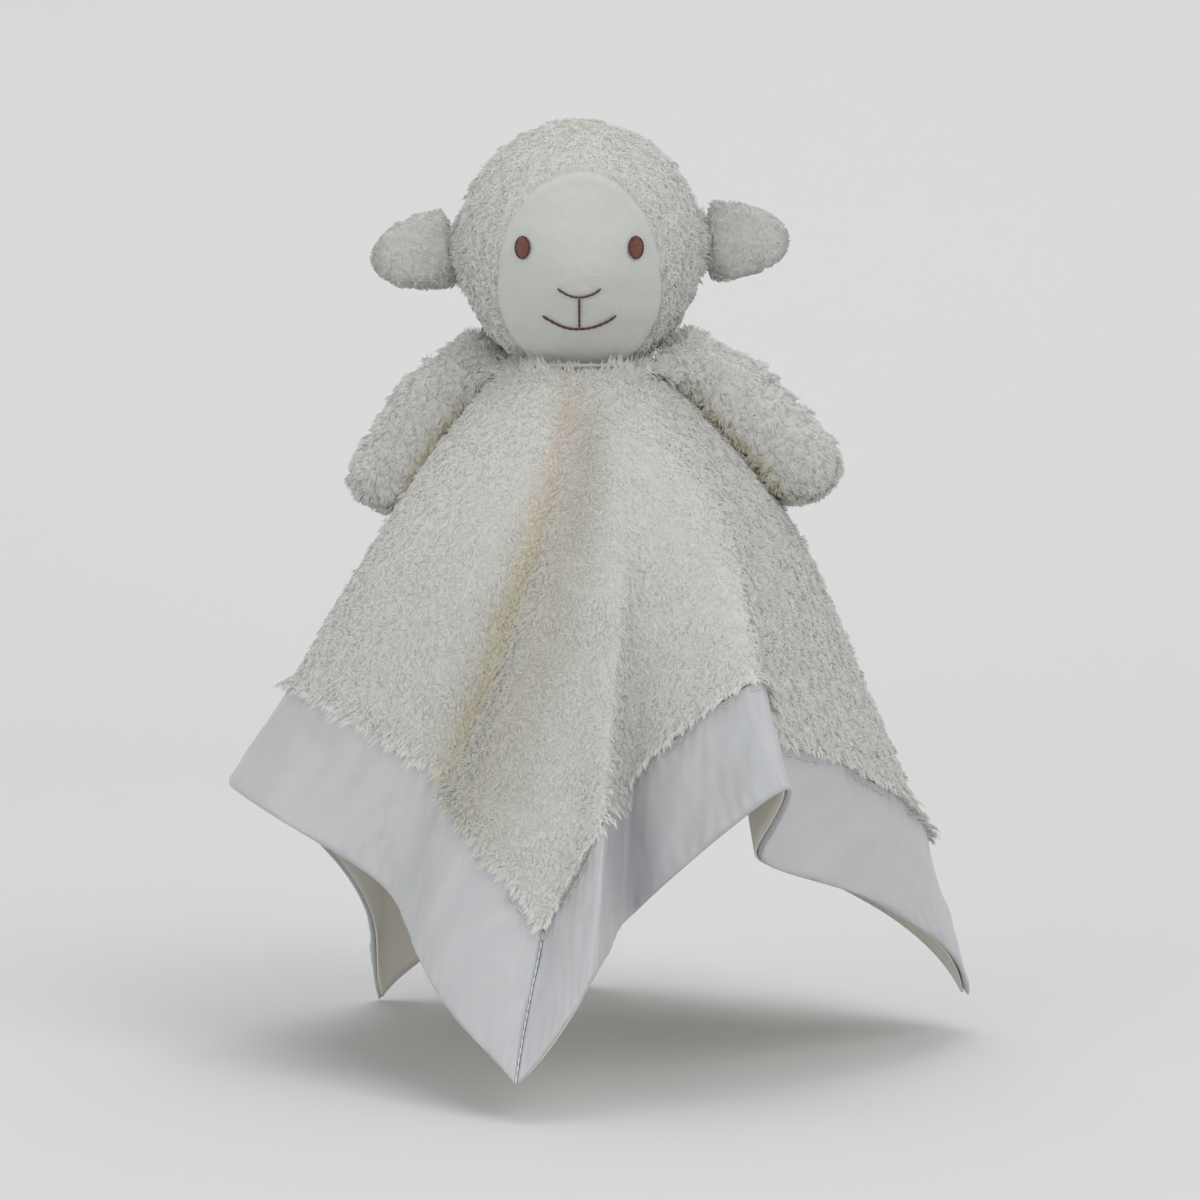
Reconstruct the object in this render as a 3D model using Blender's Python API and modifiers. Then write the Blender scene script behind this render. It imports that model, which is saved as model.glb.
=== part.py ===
"""Comfort blanket lovey: a lamb's head and two arms, sewn to the middle of a square plush blanket.

The blanket hangs from the neck in soft folds, with a wide satin hem on its face and a smooth
lining inside. Head and arms are plush covers round stuffing. The two ears are two layers each.

The frame: the origin is the middle of the neck seam, where the blanket is sewn to the head.
+Z is up, the face looks towards -Y, and +X is the lamb's own left.
Run it with: blender --background --python part.py
"""
import math

import bmesh
import bpy
import numpy as np
from mathutils import Matrix, Vector
from mathutils.bvhtree import BVHTree

# Sizes, in metres
GAP = 0.0003                    # clearance between two sewn pieces

BLANKET_SIDE = 0.364            # the square, laid flat
HEM_WIDTH = 0.038
PLUSH_THICKNESS = 0.0024
LINING_THICKNESS = 0.0007
HEM_SEAM_GAP = 0.0006
NORMAL_REACH = 0.0085           # half the patch of cloth over which a direction is averaged
SOFTNESS = 0.0090               # half the width of cloth over which a fold is rounded
NECK_RADIUS = 0.018             # the round seam between blanket and head
SHOULDER_LENGTH = 0.110         # cloth over which the upper slope eases into the lower one
ROLL_LENGTH = 0.012             # cloth that rolls over from the flat neck into the slope
CREASE_DEPTH = 0.011
CREASE_HALF_WIDTH = 0.010
NECK_THREAD_RADIUS = 0.0006
NECK_THREAD_OFFSET = 0.0035     # from the neck seam outwards

HEAD_WIDTH = 0.080
HEAD_DEPTH = 0.074
HEAD_HEIGHT = 0.0794            # crown above the neck seam
HEAD_PLUSH_THICKNESS = 0.0030
FACE_SET_BACK = 0.0012          # the face lies this much behind the plush round it
FACE_THICKNESS = 0.0016
FACE_WIDTH = 0.053
FACE_TOP = 0.0615               # above the neck seam
FACE_SEAM_GAP = 0.0004
MUZZLE_RISE = 0.0030
MUZZLE_HALF_WIDTH = 0.0130
MUZZLE_HALF_HEIGHT = 0.0160
MUZZLE_HEIGHT = 0.0270

EYE_SPACING = 0.0346
EYE_HEIGHT = 0.0370
EYE_WIDTH = 0.0046
EYE_TALL = 0.0069
EYE_RISE = 0.0009
EYE_SINK_CLEARANCE = 0.0002     # the round face stands up this much behind an eye's flat back
STITCH_RADIUS = 0.00045
NOSE_WIDTH = 0.0128
NOSE_HEIGHT = 0.0217
NOSE_DIP = 0.0025
MOUTH_WIDTH = 0.0220
MOUTH_HEIGHT = 0.0123
MOUTH_DIP = 0.0039

EAR_LENGTH = 0.0245
EAR_HEIGHT = 0.025
EAR_ROOT_RADIUS = 0.0022
EAR_FRONT_RISE = 0.0034
EAR_BACK_RISE = 0.0046
EAR_LEFT_LEVEL = 0.0410         # height of the ear's root above the neck seam
EAR_RIGHT_LEVEL = 0.0385

ARM_LENGTH = 0.070
ARM_THICKNESS = 0.0240
ARM_ROOT_RADIUS = 0.0038
ARM_ROOT_OFFSET = 0.0090        # from the neck seam to the arm's root
ARM_COVER_THICKNESS = 0.0025

# Angles, in degrees
EAR_LEFT_DROOP = 0.0
EAR_RIGHT_DROOP = 10.0
# Each arm: its direction seen from above, 0 at the front and 90 at the lamb's left, then how steeply
# it rises at its root and at its hand
ARM_LEFT_ANGLES = (91.0, 9.0, -51.0)
ARM_RIGHT_ANGLES = (-110.0, 1.0, -57.0)
NECK_TURN = 5.0                 # the blanket's front corner turns this far to the lamb's left

# The folds. A row is one line of the blanket from its middle to its edge. Its flat angle is 0 at
# the front corner and 90 at the lamb's left one. Then come the direction in which the line's end
# hangs, seen from above with 0 at the front, and the line's slopes away from the vertical:
# near the neck, below that, and in the hem.
FOLDS = (
    (-80.6, -130.0, 43.0, 15.0, 13.0),
    (-62.6, -105.0, 47.0, 18.0, 20.0),
    (-54.5, -93.0, 47.0, 24.0, 24.0),
    (-45.0, -79.0, 44.0, 28.6, 33.0),
    (-23.0, -44.0, 42.0, 12.0, 13.0),
    (-8.0, -23.0, 44.0, 15.0, 24.0),
    (0.0, -8.0, 38.0, 15.0, 45.0),
    (10.0, 3.0, 44.0, 17.0, 31.0),
    (19.0, 10.0, 44.0, 8.0, 11.0),
    (30.0, 20.0, 48.0, 20.0, 25.0),
    (45.0, 29.5, 45.0, 36.0, 40.0),
    (61.0, 38.0, 43.0, 16.5, 18.0),
    (75.0, 66.0, 48.0, 18.0, 16.0),
    (90.0, 99.0, 51.0, 23.0, 17.0),
    (112.0, 132.0, 46.0, 12.0, 11.0),
    (128.0, 145.0, 49.0, 24.0, 25.0),
    (145.0, 157.0, 44.0, 12.0, 11.0),
    (162.0, 168.0, 48.0, 21.0, 22.0),
    (180.0, 179.0, 46.0, 15.0, 14.0),
    (198.0, 189.0, 47.0, 20.0, 20.0),
    (221.0, 198.0, 44.0, 13.0, 13.0),
    (246.0, 206.0, 46.0, 17.0, 17.0),
    (264.8, 212.0, 44.0, 13.0, 13.0),
    (270.0, 222.0, 44.0, 14.5, 15.0),
)
# The deep crease left of the front corner: its flat angle at the neck and at the hem
CREASE_ANGLES = (-10.0, -21.0)
CREASE_START_SHARE = 0.06       # of the way from the neck to the edge
CREASE_DEEPEST_SHARE = 0.68
FLARE_START_SHARE = 0.26        # of the hem's width, above the hem
FLARE_LENGTH_SHARE = 0.63
PLUSH_RING_SHARES = (0.05, 0.15, 0.30, 0.52, 0.76)
HEM_RING_SHARES = (0.5,)
BEND_SHARE = 0.034              # of the blanket's side, what one radian of bend counts as
LINES_PER_SIDE = 15
STEPS_DOWN_A_LINE = 60
SAMPLES_PER_SIDE = 240

JAW_SHARE = 0.13                # how much narrower the head is at the neck
FACE_BOTTOM_SHARE = 0.05        # of the face's height, below the neck seam
FACE_WIDEST_SHARE = 0.44        # of the face's height, from its bottom
FACE_BAR_SHARE = 0.12           # of the head's depth, how near its middle the face's cutter ends
ARM_SWELL_SHARE = 0.42          # of the arm's length, over which it reaches its full thickness
ARM_BEND_SHARE = 0.45           # of the arm's length, over which it bends down
EAR_SWELL_SHARE = 0.45
SEAT_SHARE = 1.5                # an arm's clearance over the blanket, in gaps
SEATING_STEPS = 6

HEAD_AROUND, HEAD_UP = 26, 15
STUFFING_AROUND, STUFFING_UP = 22, 12
ARM_RESOLUTION, ARM_STEPS, HAND_STEPS = 4, 11, 4
EAR_AROUND, EAR_UP = 20, 10
EYE_AROUND, EYE_UP = 12, 8
EGG_SIDES = 32
STITCH_POINTS = 9
THREAD_AROUND, THREAD_SIDES = 28, 6

# Derived sizes
HALF_SIDE = BLANKET_SIDE / 2
HEM_INNER_SHARE = 1 - HEM_WIDTH / HALF_SIDE
HEAD_HALF_WIDTH = HEAD_WIDTH / 2
HEAD_FLAT_SHARE = math.sqrt(1 - (NECK_RADIUS / HEAD_HALF_WIDTH) ** 2)
HEAD_HALF_HEIGHT = (HEAD_HEIGHT - GAP) / (1 + HEAD_FLAT_SHARE)
HEAD_CENTRE = HEAD_HEIGHT - HEAD_HALF_HEIGHT
FACE_BOTTOM = -FACE_BOTTOM_SHARE * FACE_TOP
STUFFING_INSET = max(HEAD_PLUSH_THICKNESS, FACE_SET_BACK + FACE_THICKNESS) + 2 * GAP

COLOURS = {
    "plush": ((0.86, 0.85, 0.81, 1.0), 0.95),
    "velour": ((0.84, 0.84, 0.81, 1.0), 0.90),
    "satin": ((0.78, 0.80, 0.84, 1.0), 0.38),
    "lining": ((0.77, 0.75, 0.69, 1.0), 0.60),
    "thread": ((0.86, 0.85, 0.81, 1.0), 0.70),
    "brown thread": ((0.17, 0.055, 0.035, 1.0), 0.55),
    "stuffing": ((0.92, 0.92, 0.90, 1.0), 1.0),
}


# The scene and its materials
def clear_scene():
    for item in list(bpy.data.objects):
        bpy.data.objects.remove(item, do_unlink=True)


def new_collection(name):
    group = bpy.data.collections.new(name)
    bpy.context.scene.collection.children.link(group)
    return group


def material(finish, name):
    colour, roughness = COLOURS[finish]
    made = bpy.data.materials.new(name)
    made.use_nodes = True
    shader = made.node_tree.nodes["Principled BSDF"]
    shader.inputs["Base Color"].default_value = colour
    shader.inputs["Roughness"].default_value = roughness
    shader.inputs["Metallic"].default_value = 0.0
    made.diffuse_color = colour
    return made


def add_object(name, mesh, finish, group, smooth=True):
    mesh.materials.clear()
    mesh.materials.append(material(finish, name))
    if smooth:
        mesh.shade_smooth()
    piece = bpy.data.objects.new(name, mesh)
    group.objects.link(piece)
    return piece


def joint_empty(name, place, group, parent=None):
    """An empty on a joint's axis, to which the pieces that move with it are parented."""
    empty = bpy.data.objects.new(name, None)
    group.objects.link(empty)
    if parent is not None:
        empty.parent = parent
        place = place - parent.matrix_world.translation
    empty.location = place
    bpy.context.view_layer.update()
    return empty


def hang_on(piece, empty):
    """Parents a piece to a joint's empty, with the piece's own origin on the joint's axis."""
    piece.data.transform(Matrix.Translation(-empty.matrix_world.translation))
    piece.parent = empty


def cutter_object(name, mesh, group):
    cutter = bpy.data.objects.new(name, mesh)
    cutter.hide_render = True
    cutter.display_type = "WIRE"
    group.objects.link(cutter)
    return cutter


def add_solidify(piece, thickness):
    """Thickens an open surface inwards."""
    modifier = piece.modifiers.new("thickness", "SOLIDIFY")
    modifier.thickness = thickness
    modifier.offset = -1.0


def add_boolean(piece, cutter, operation):
    modifier = piece.modifiers.new("cut by " + cutter.name, "BOOLEAN")
    modifier.object = cutter
    modifier.operation = operation
    modifier.solver = "EXACT"


# The draped blanket
def ease(value):
    """0 below 0, 1 above 1, and a smooth rise between."""
    value = np.clip(value, 0.0, 1.0)
    return value * value * (3 - 2 * value)


def fold_value(column, angles, turn=0.0):
    """A column of FOLDS at any flat angles, by a smooth curve that never passes its rows."""
    knots = np.array([row[0] for row in FOLDS])
    values = np.array([row[column] for row in FOLDS])
    knots = np.concatenate([knots - 360, knots, knots + 360])
    values = np.concatenate([values - turn, values, values + turn])
    widths = np.diff(knots)
    rises = np.diff(values) / widths
    before, after = rises[:-1], rises[1:]
    same_way = before * after > 0
    before = np.where(same_way, before, 1.0)
    after = np.where(same_way, after, 1.0)
    first = 2 * widths[1:] + widths[:-1]
    second = widths[1:] + 2 * widths[:-1]
    tangents = np.zeros(len(knots))
    tangents[1:-1] = np.where(same_way, (first + second) / (first / before + second / after), 0.0)
    at = np.clip(np.searchsorted(knots, angles, side="right") - 1, 0, len(widths) - 1)
    part = (angles - knots[at]) / widths[at]
    return (
        (2 * part**3 - 3 * part**2 + 1) * values[at]
        + (part**3 - 2 * part**2 + part) * widths[at] * tangents[at]
        + (3 * part**2 - 2 * part**3) * values[at + 1]
        + (part**3 - part**2) * widths[at] * tangents[at + 1]
    )


def edge_distance(angles):
    """From the blanket's middle to its edge, along a flat angle."""
    return HALF_SIDE / np.cos(np.radians(angles % 90.0 - 45.0))


def drape(angles, distances):
    """Places of the blanket's face, for flat angles and flat distances from its middle.

    Each is averaged over the cloth beside it, which rounds the folds as plush does.
    """
    turn = np.degrees(SOFTNESS / np.maximum(distances, NECK_RADIUS))
    places = 0.0
    for offset, weight in ((-1.0, 0.1), (-0.5, 0.2), (0.0, 0.4), (0.5, 0.2), (1.0, 0.1)):
        places = places + weight * folded(angles + offset * turn, distances)
    return places


def folded(angles, distances):
    """The blanket's face as FOLDS gives it.

    Each line from the middle keeps its length: it runs flat over the neck, then down its slopes.
    """
    hem_turn = fold_value(1, angles, 360.0)
    upper = fold_value(2, angles)
    lower = fold_value(3, angles)
    flare = fold_value(4, angles)
    edge = edge_distance(angles)
    past_neck = np.maximum(distances - NECK_RADIUS, 0.0)
    flare_start = edge * HEM_INNER_SHARE - NECK_RADIUS - FLARE_START_SHARE * HEM_WIDTH
    radius = np.minimum(distances, NECK_RADIUS)
    height = np.zeros_like(radius)
    step = past_neck / STEPS_DOWN_A_LINE
    for number in range(STEPS_DOWN_A_LINE):
        here = step * (number + 0.5)
        slope = lower + (upper - lower) * (1 - ease(here / SHOULDER_LENGTH))
        slope = slope + (90.0 - upper) * (1 - ease(here / ROLL_LENGTH))
        slope = slope + (flare - lower) * ease((here - flare_start) / (FLARE_LENGTH_SHARE * HEM_WIDTH))
        radius = radius + step * np.sin(np.radians(slope))
        height = height - step * np.cos(np.radians(slope))
    share = past_neck / (edge - NECK_RADIUS)
    radius = radius - crease(angles, distances, share)
    neck_turn = angles + NECK_TURN
    turn = np.radians(neck_turn + (hem_turn - neck_turn) * ease(share))
    return np.stack([radius * np.sin(turn), -radius * np.cos(turn), height], axis=-1)


def crease(angles, distances, share):
    """How far the deep crease draws the blanket in."""
    first, last = CREASE_ANGLES
    off = (angles - first - (last - first) * share + 180.0) % 360.0 - 180.0
    across = np.radians(off) * distances / CREASE_HALF_WIDTH
    rise = ease((share - CREASE_START_SHARE) / (CREASE_DEEPEST_SHARE - CREASE_START_SHARE))
    fall = 1 - ease((share - CREASE_DEEPEST_SHARE) / (1 - CREASE_DEEPEST_SHARE))
    return CREASE_DEPTH * rise * fall * np.exp(-across * across)


def drape_normals(angles, distances):
    """The directions in which the blanket's face looks, each averaged over a patch of cloth.

    At a sharp fold the average turns slowly, so layers that are set in along it don't run together.
    """
    turn = np.degrees(NORMAL_REACH / np.maximum(distances, NECK_RADIUS))
    along = drape(angles, distances + NORMAL_REACH) - drape(angles, distances - NORMAL_REACH)
    across = drape(angles + turn, distances) - drape(angles - turn, distances)
    normals = np.cross(along, across)
    return normals / np.linalg.norm(normals, axis=-1, keepdims=True)


def fold_lines(corner):
    """Flat angles from one corner to the next, closer together where the hem bends."""
    angles = np.linspace(corner, corner + 90.0, SAMPLES_PER_SIDE + 1)
    worth = np.zeros(SAMPLES_PER_SIDE)
    for share in (0.5, 1.0):
        path = drape(angles, edge_distance(angles) * share)
        steps = np.diff(path, axis=0)
        lengths = np.linalg.norm(steps, axis=1)
        ways = steps / lengths[:, None]
        bends = np.arccos(np.clip(np.sum(ways[1:] * ways[:-1], axis=1), -1.0, 1.0))
        worth += lengths
        worth[1:] += BEND_SHARE * BLANKET_SIDE * bends
    run = np.concatenate([[0.0], np.cumsum(worth)])
    return np.interp(np.linspace(0.0, run[-1], LINES_PER_SIDE + 1), run, angles)


def plush_rings(angles):
    """Flat distances of the rings from the neck seam to the hem, one row a ring."""
    inner = edge_distance(angles) * HEM_INNER_SHARE
    shares = (0.0,) + PLUSH_RING_SHARES + (1.0,)
    return np.array([NECK_RADIUS + (inner - NECK_RADIUS) * share for share in shares])


def hem_rings(angles):
    edge = edge_distance(angles)
    inner = edge * HEM_INNER_SHARE
    shares = (0.0,) + HEM_RING_SHARES + (1.0,)
    return np.array([inner + (edge - inner) * share for share in shares])


def layer_mesh(name, angles, distances, top, bottom, closed):
    """A layer of cloth between two depths under the blanket's face, as one closed mesh.

    A closed layer goes right round, and over the neck. Every layer splits its faces along the same
    diagonals, so neighbours keep their clearance.
    """
    places = drape(angles, distances)
    normals = drape_normals(angles, distances)
    rows, columns = distances.shape
    mesh = bpy.data.meshes.new(name)
    build = bmesh.new()
    skins = []
    for depth in (top, bottom):
        grid = places - normals * depth
        skins.append([[build.verts.new(grid[row, column]) for column in range(columns)] for row in range(rows)])
    last_column = columns if closed else columns - 1
    for outward, skin in ((True, skins[0]), (False, skins[1])):
        for row in range(rows - 1):
            for column in range(last_column):
                after = (column + 1) % columns
                corners = (skin[row][column], skin[row + 1][column], skin[row + 1][after], skin[row][after])
                for triangle in (corners[:3], (corners[0],) + corners[2:]):
                    build.faces.new(triangle if outward else triangle[::-1])
        if closed:
            middle = build.verts.new((0.0, 0.0, -(top if outward else bottom)))
            for column in range(columns):
                triangle = (middle, skin[0][column], skin[0][(column + 1) % columns])
                build.faces.new(triangle if outward else triangle[::-1])
    upper, under = skins
    for column in range(last_column):
        after = (column + 1) % columns
        add_rim(build, upper[-1][column], upper[-1][after], under[-1][column], under[-1][after])
        if not closed:
            add_rim(build, upper[0][column], upper[0][after], under[0][column], under[0][after])
    if not closed:
        for row in range(rows - 1):
            add_rim(build, upper[row][0], upper[row + 1][0], under[row][0], under[row + 1][0])
            add_rim(build, upper[row][-1], upper[row + 1][-1], under[row][-1], under[row + 1][-1])
    bmesh.ops.recalc_face_normals(build, faces=build.faces)
    build.to_mesh(mesh)
    build.free()
    return mesh


def add_rim(build, upper_first, upper_second, under_first, under_second):
    build.faces.new((upper_first, under_first, under_second))
    build.faces.new((upper_first, under_second, upper_second))


def whole_round():
    """The flat angles of all lines, from the front corner right round."""
    return np.concatenate([fold_lines(corner)[:-1] for corner in (0.0, 90.0, 180.0, 270.0)])


def make_blanket(group):
    lines = whole_round()
    rings = plush_rings(lines)
    rings[-1] -= HEM_SEAM_GAP / 2
    angles = np.broadcast_to(lines, rings.shape)
    mesh = layer_mesh("blanket_plush", angles, rings, 0.0, PLUSH_THICKNESS, closed=True)
    plush = add_object("blanket_plush", mesh, "plush", group)

    rings = np.concatenate([plush_rings(lines), hem_rings(lines)[1:]])
    angles = np.broadcast_to(lines, rings.shape)
    top = PLUSH_THICKNESS + GAP
    mesh = layer_mesh("blanket_lining", angles, rings, top, top + LINING_THICKNESS, closed=True)
    add_object("blanket_lining", mesh, "lining", group)

    corners = {"hem_front_left": 0.0, "hem_back_left": 90.0, "hem_back_right": 180.0, "hem_front_right": 270.0}
    for name, corner in corners.items():
        make_hem(name, corner, group)
    return plush


def make_hem(name, corner, group):
    """One satin strip along a side, mitred at both corners."""
    lines = fold_lines(corner)
    rings = hem_rings(lines)
    rings[0] += HEM_SEAM_GAP / 2
    angles = np.tile(lines, (len(rings), 1))
    angles[:, 0] += np.degrees(HEM_SEAM_GAP / 2 / rings[:, 0])
    angles[:, -1] -= np.degrees(HEM_SEAM_GAP / 2 / rings[:, -1])
    mesh = layer_mesh(name, angles, rings, 0.0, PLUSH_THICKNESS, closed=False)
    add_object(name, mesh, "satin", group)


def make_neck_thread(group):
    """The ring of seam thread in the wedge between head and blanket."""
    bpy.ops.mesh.primitive_torus_add(
        major_radius=NECK_RADIUS + NECK_THREAD_OFFSET, minor_radius=NECK_THREAD_RADIUS,
        major_segments=THREAD_AROUND, minor_segments=THREAD_SIDES,
        location=(0.0, 0.0, NECK_THREAD_RADIUS + GAP),
    )
    made = bpy.context.object
    mesh = made.data
    mesh.transform(made.matrix_world)
    bpy.data.objects.remove(made)
    add_object("neck_thread", mesh, "thread", group)


# Round forms
def ball_mesh(name, around, up, form, cut=None, fill=True, turn=None):
    """A unit sphere, cut off beyond a plane (place, direction), with its points moved to form(point)."""
    mesh = bpy.data.meshes.new(name)
    build = bmesh.new()
    bmesh.ops.create_uvsphere(build, u_segments=around, v_segments=up, radius=1.0)
    if cut is not None:
        place, direction = cut
        everything = build.verts[:] + build.edges[:] + build.faces[:]
        made = bmesh.ops.bisect_plane(
            build, geom=everything, dist=1e-5, plane_co=place, plane_no=direction, clear_outer=True,
        )
        if fill:
            edges = [item for item in made["geom_cut"] if isinstance(item, bmesh.types.BMEdge)]
            bmesh.ops.contextual_create(build, geom=edges)
    for vert in build.verts:
        vert.co = form(vert.co)
    if turn is not None:
        bmesh.ops.transform(build, matrix=turn, verts=build.verts)
    bmesh.ops.recalc_face_normals(build, faces=build.faces)
    build.to_mesh(mesh)
    build.free()
    return mesh


def swept_mesh(name, places, radii, resolution, group):
    """A round bar along places, with its own radius at each, as a welded mesh."""
    curve = bpy.data.curves.new(name, "CURVE")
    curve.dimensions = "3D"
    curve.bevel_depth = 1.0
    curve.bevel_resolution = resolution
    curve.use_fill_caps = True
    spline = curve.splines.new("POLY")
    spline.points.add(len(places) - 1)
    for point, place, radius in zip(spline.points, places, radii):
        point.co = (*place, 1.0)
        point.radius = radius
    piece = bpy.data.objects.new(name, curve)
    group.objects.link(piece)
    bpy.context.view_layer.update()
    mesh = bpy.data.meshes.new_from_object(piece.evaluated_get(bpy.context.evaluated_depsgraph_get()))
    bpy.data.objects.remove(piece)
    build = bmesh.new()
    build.from_mesh(mesh)
    bmesh.ops.remove_doubles(build, verts=build.verts, dist=max(radii) * 0.001)
    bmesh.ops.recalc_face_normals(build, faces=build.faces)
    build.to_mesh(mesh)
    build.free()
    return mesh


# The head
def jaw_narrowing(height):
    """The head's width at a height of the unit sphere, as a share of the sphere's."""
    return 1 - JAW_SHARE * max(0.0, -height) ** 1.5


def muzzle(x, z):
    """How far the raised bridge of the face stands forward of the round head."""
    across = x / MUZZLE_HALF_WIDTH
    up = (z - MUZZLE_HEIGHT) / MUZZLE_HALF_HEIGHT
    return MUZZLE_RISE * math.exp(-across * across - up * up)


def head_form(inset):
    """Moves points of the unit sphere onto the head, a given depth inside its plush."""
    def form(point):
        narrow = jaw_narrowing(point.z)
        x = point.x * narrow * (HEAD_HALF_WIDTH - inset)
        y = point.y * narrow * (HEAD_DEPTH / 2 - inset)
        z = HEAD_CENTRE + point.z * (HEAD_HALF_HEIGHT - inset)
        return Vector((x, y + min(point.y, 0.0) * muzzle(x, z), z))

    return form


def neck_cut(inset):
    """The plane of the neck, on the unit sphere that head_form(inset) moves."""
    return (0.0, 0.0, (GAP - HEAD_CENTRE) / (HEAD_HALF_HEIGHT - inset)), (0.0, 0.0, -1.0)


def face_point(x, z, lift=0.0):
    """The face panel's front at a width and a height, raised by lift, and its outward direction."""
    def front(at_x, at_z):
        height = (at_z - HEAD_CENTRE) / (HEAD_HALF_HEIGHT - FACE_SET_BACK)
        narrow = jaw_narrowing(height)
        side = at_x / (narrow * (HEAD_HALF_WIDTH - FACE_SET_BACK))
        forward = -math.sqrt(max(0.0, 1 - height * height - side * side))
        depth = forward * narrow * (HEAD_DEPTH / 2 - FACE_SET_BACK) + forward * muzzle(at_x, at_z)
        return Vector((at_x, depth, at_z))

    small = HEAD_WIDTH * 1e-3
    right = front(x + small, z) - front(x - small, z)
    up = front(x, z + small) - front(x, z - small)
    outward = right.cross(up).normalized()
    return front(x, z) + outward * lift, outward


def egg_bar(name, grow, lowest, group):
    """A bar with the face panel's egg outline, from in front of the head to inside it, flat at its lowest."""
    mesh = bpy.data.meshes.new(name)
    build = bmesh.new()
    bmesh.ops.create_cone(
        build, cap_ends=True, segments=EGG_SIDES, radius1=1.0, radius2=1.0, depth=1.0,
        matrix=Matrix.Rotation(math.pi / 2, 4, "X"),
    )
    widest = FACE_BOTTOM + FACE_WIDEST_SHARE * (FACE_TOP - FACE_BOTTOM)
    for vert in build.verts:
        reach = (FACE_TOP - widest if vert.co.z > 0 else widest - FACE_BOTTOM) + grow
        vert.co.x *= FACE_WIDTH / 2 + grow
        vert.co.z = max(widest + vert.co.z * reach, lowest)
        vert.co.y = -HEAD_DEPTH if vert.co.y < 0 else -HEAD_DEPTH * FACE_BAR_SHARE
    bmesh.ops.recalc_face_normals(build, faces=build.faces)
    build.to_mesh(mesh)
    build.free()
    return cutter_object(name, mesh, group)


def make_head(group, cutters, empty):
    mesh = ball_mesh("head_cover", HEAD_AROUND, HEAD_UP, head_form(0.0), neck_cut(0.0), fill=False)
    cover = add_object("head_cover", mesh, "plush", group)
    add_solidify(cover, HEAD_PLUSH_THICKNESS)
    add_boolean(cover, egg_bar("face_opening", FACE_SEAM_GAP, -HEAD_HEIGHT, cutters), "DIFFERENCE")

    mesh = ball_mesh("face_panel", HEAD_AROUND, HEAD_UP, head_form(FACE_SET_BACK))
    panel = add_object("face_panel", mesh, "velour", group)
    add_solidify(panel, FACE_THICKNESS)
    add_boolean(panel, egg_bar("face_outline", 0.0, GAP, cutters), "INTERSECT")

    form = head_form(STUFFING_INSET)
    mesh = ball_mesh("head_stuffing", STUFFING_AROUND, STUFFING_UP, form, neck_cut(STUFFING_INSET))
    stuffing = add_object("head_stuffing", mesh, "stuffing", group)
    for piece in (cover, panel, stuffing):
        hang_on(piece, empty)


FLAT_BACK = (0.0, 0.0, 0.0), (0.0, 1.0, 0.0)


def make_eye(name, side, group, empty):
    """An embroidered oval, flat behind and domed in front."""
    centre, outward = face_point(side * EYE_SPACING / 2, EYE_HEIGHT, GAP + EYE_SINK_CLEARANCE)
    turn = Matrix.Translation(centre) @ outward.to_track_quat("-Y", "Z").to_matrix().to_4x4()

    def form(point):
        return Vector((point.x * EYE_WIDTH / 2, point.y * EYE_RISE, point.z * EYE_TALL / 2))

    mesh = ball_mesh(name, EYE_AROUND, EYE_UP, form, FLAT_BACK, turn=turn)
    hang_on(add_object(name, mesh, "brown thread", group), empty)


def make_stitch(name, points, group, empty):
    """A line of satin stitch that lies on the face, along (width, height) points."""
    places = [face_point(x, z, STITCH_RADIUS + GAP)[0] for x, z in points]
    mesh = swept_mesh(name, places, [STITCH_RADIUS] * len(places), 1, group)
    hang_on(add_object(name, mesh, "brown thread", group), empty)


def arc_points(width, height, dip):
    """A shallow arc: dip is how far its middle lies under its ends."""
    points = []
    for number in range(STITCH_POINTS):
        side = 2 * number / (STITCH_POINTS - 1) - 1
        points.append((side * width / 2, height + dip * side * side))
    return points


def make_features(group, empty):
    make_eye("eye_left", 1, group, empty)
    make_eye("eye_right", -1, group, empty)
    make_stitch("nose_stitch", arc_points(NOSE_WIDTH, NOSE_HEIGHT, NOSE_DIP), group, empty)
    make_stitch("mouth_stitch", arc_points(MOUTH_WIDTH, MOUTH_HEIGHT, MOUTH_DIP), group, empty)
    clear = 2 * STITCH_RADIUS + GAP
    top = NOSE_HEIGHT - clear
    bottom = MOUTH_HEIGHT + clear
    line = [(0.0, top + (bottom - top) * number / (STITCH_POINTS - 1)) for number in range(STITCH_POINTS)]
    make_stitch("lip_stitch", line, group, empty)


# The ears
def ear_place(side, level):
    """The middle of an ear's root, just off the widest part of the head beside it."""
    widest = 0.0
    for number in range(11):
        height = level + EAR_HEIGHT * (number / 10 - 0.5)
        share = (height - HEAD_CENTRE) / HEAD_HALF_HEIGHT
        reach = math.sqrt(max(0.0, 1 - share * share)) * jaw_narrowing(share) * HEAD_HALF_WIDTH
        widest = max(widest, reach)
    return Vector((side * (widest + EAR_ROOT_RADIUS + GAP), 0.0, level))


def ear_form(rise):
    """Half a leaf along +X, flat behind and domed in front, with a narrow round root."""
    def form(point):
        forward = max(point.x, 0.0)
        along = point.x * (EAR_LENGTH if point.x > 0 else EAR_ROOT_RADIUS)
        swell = float(ease(forward / EAR_SWELL_SHARE))
        thick = EAR_ROOT_RADIUS + (rise - EAR_ROOT_RADIUS) * swell
        return Vector((along, point.y * thick - GAP / 2, point.z * EAR_HEIGHT / 2))

    return form


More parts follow.
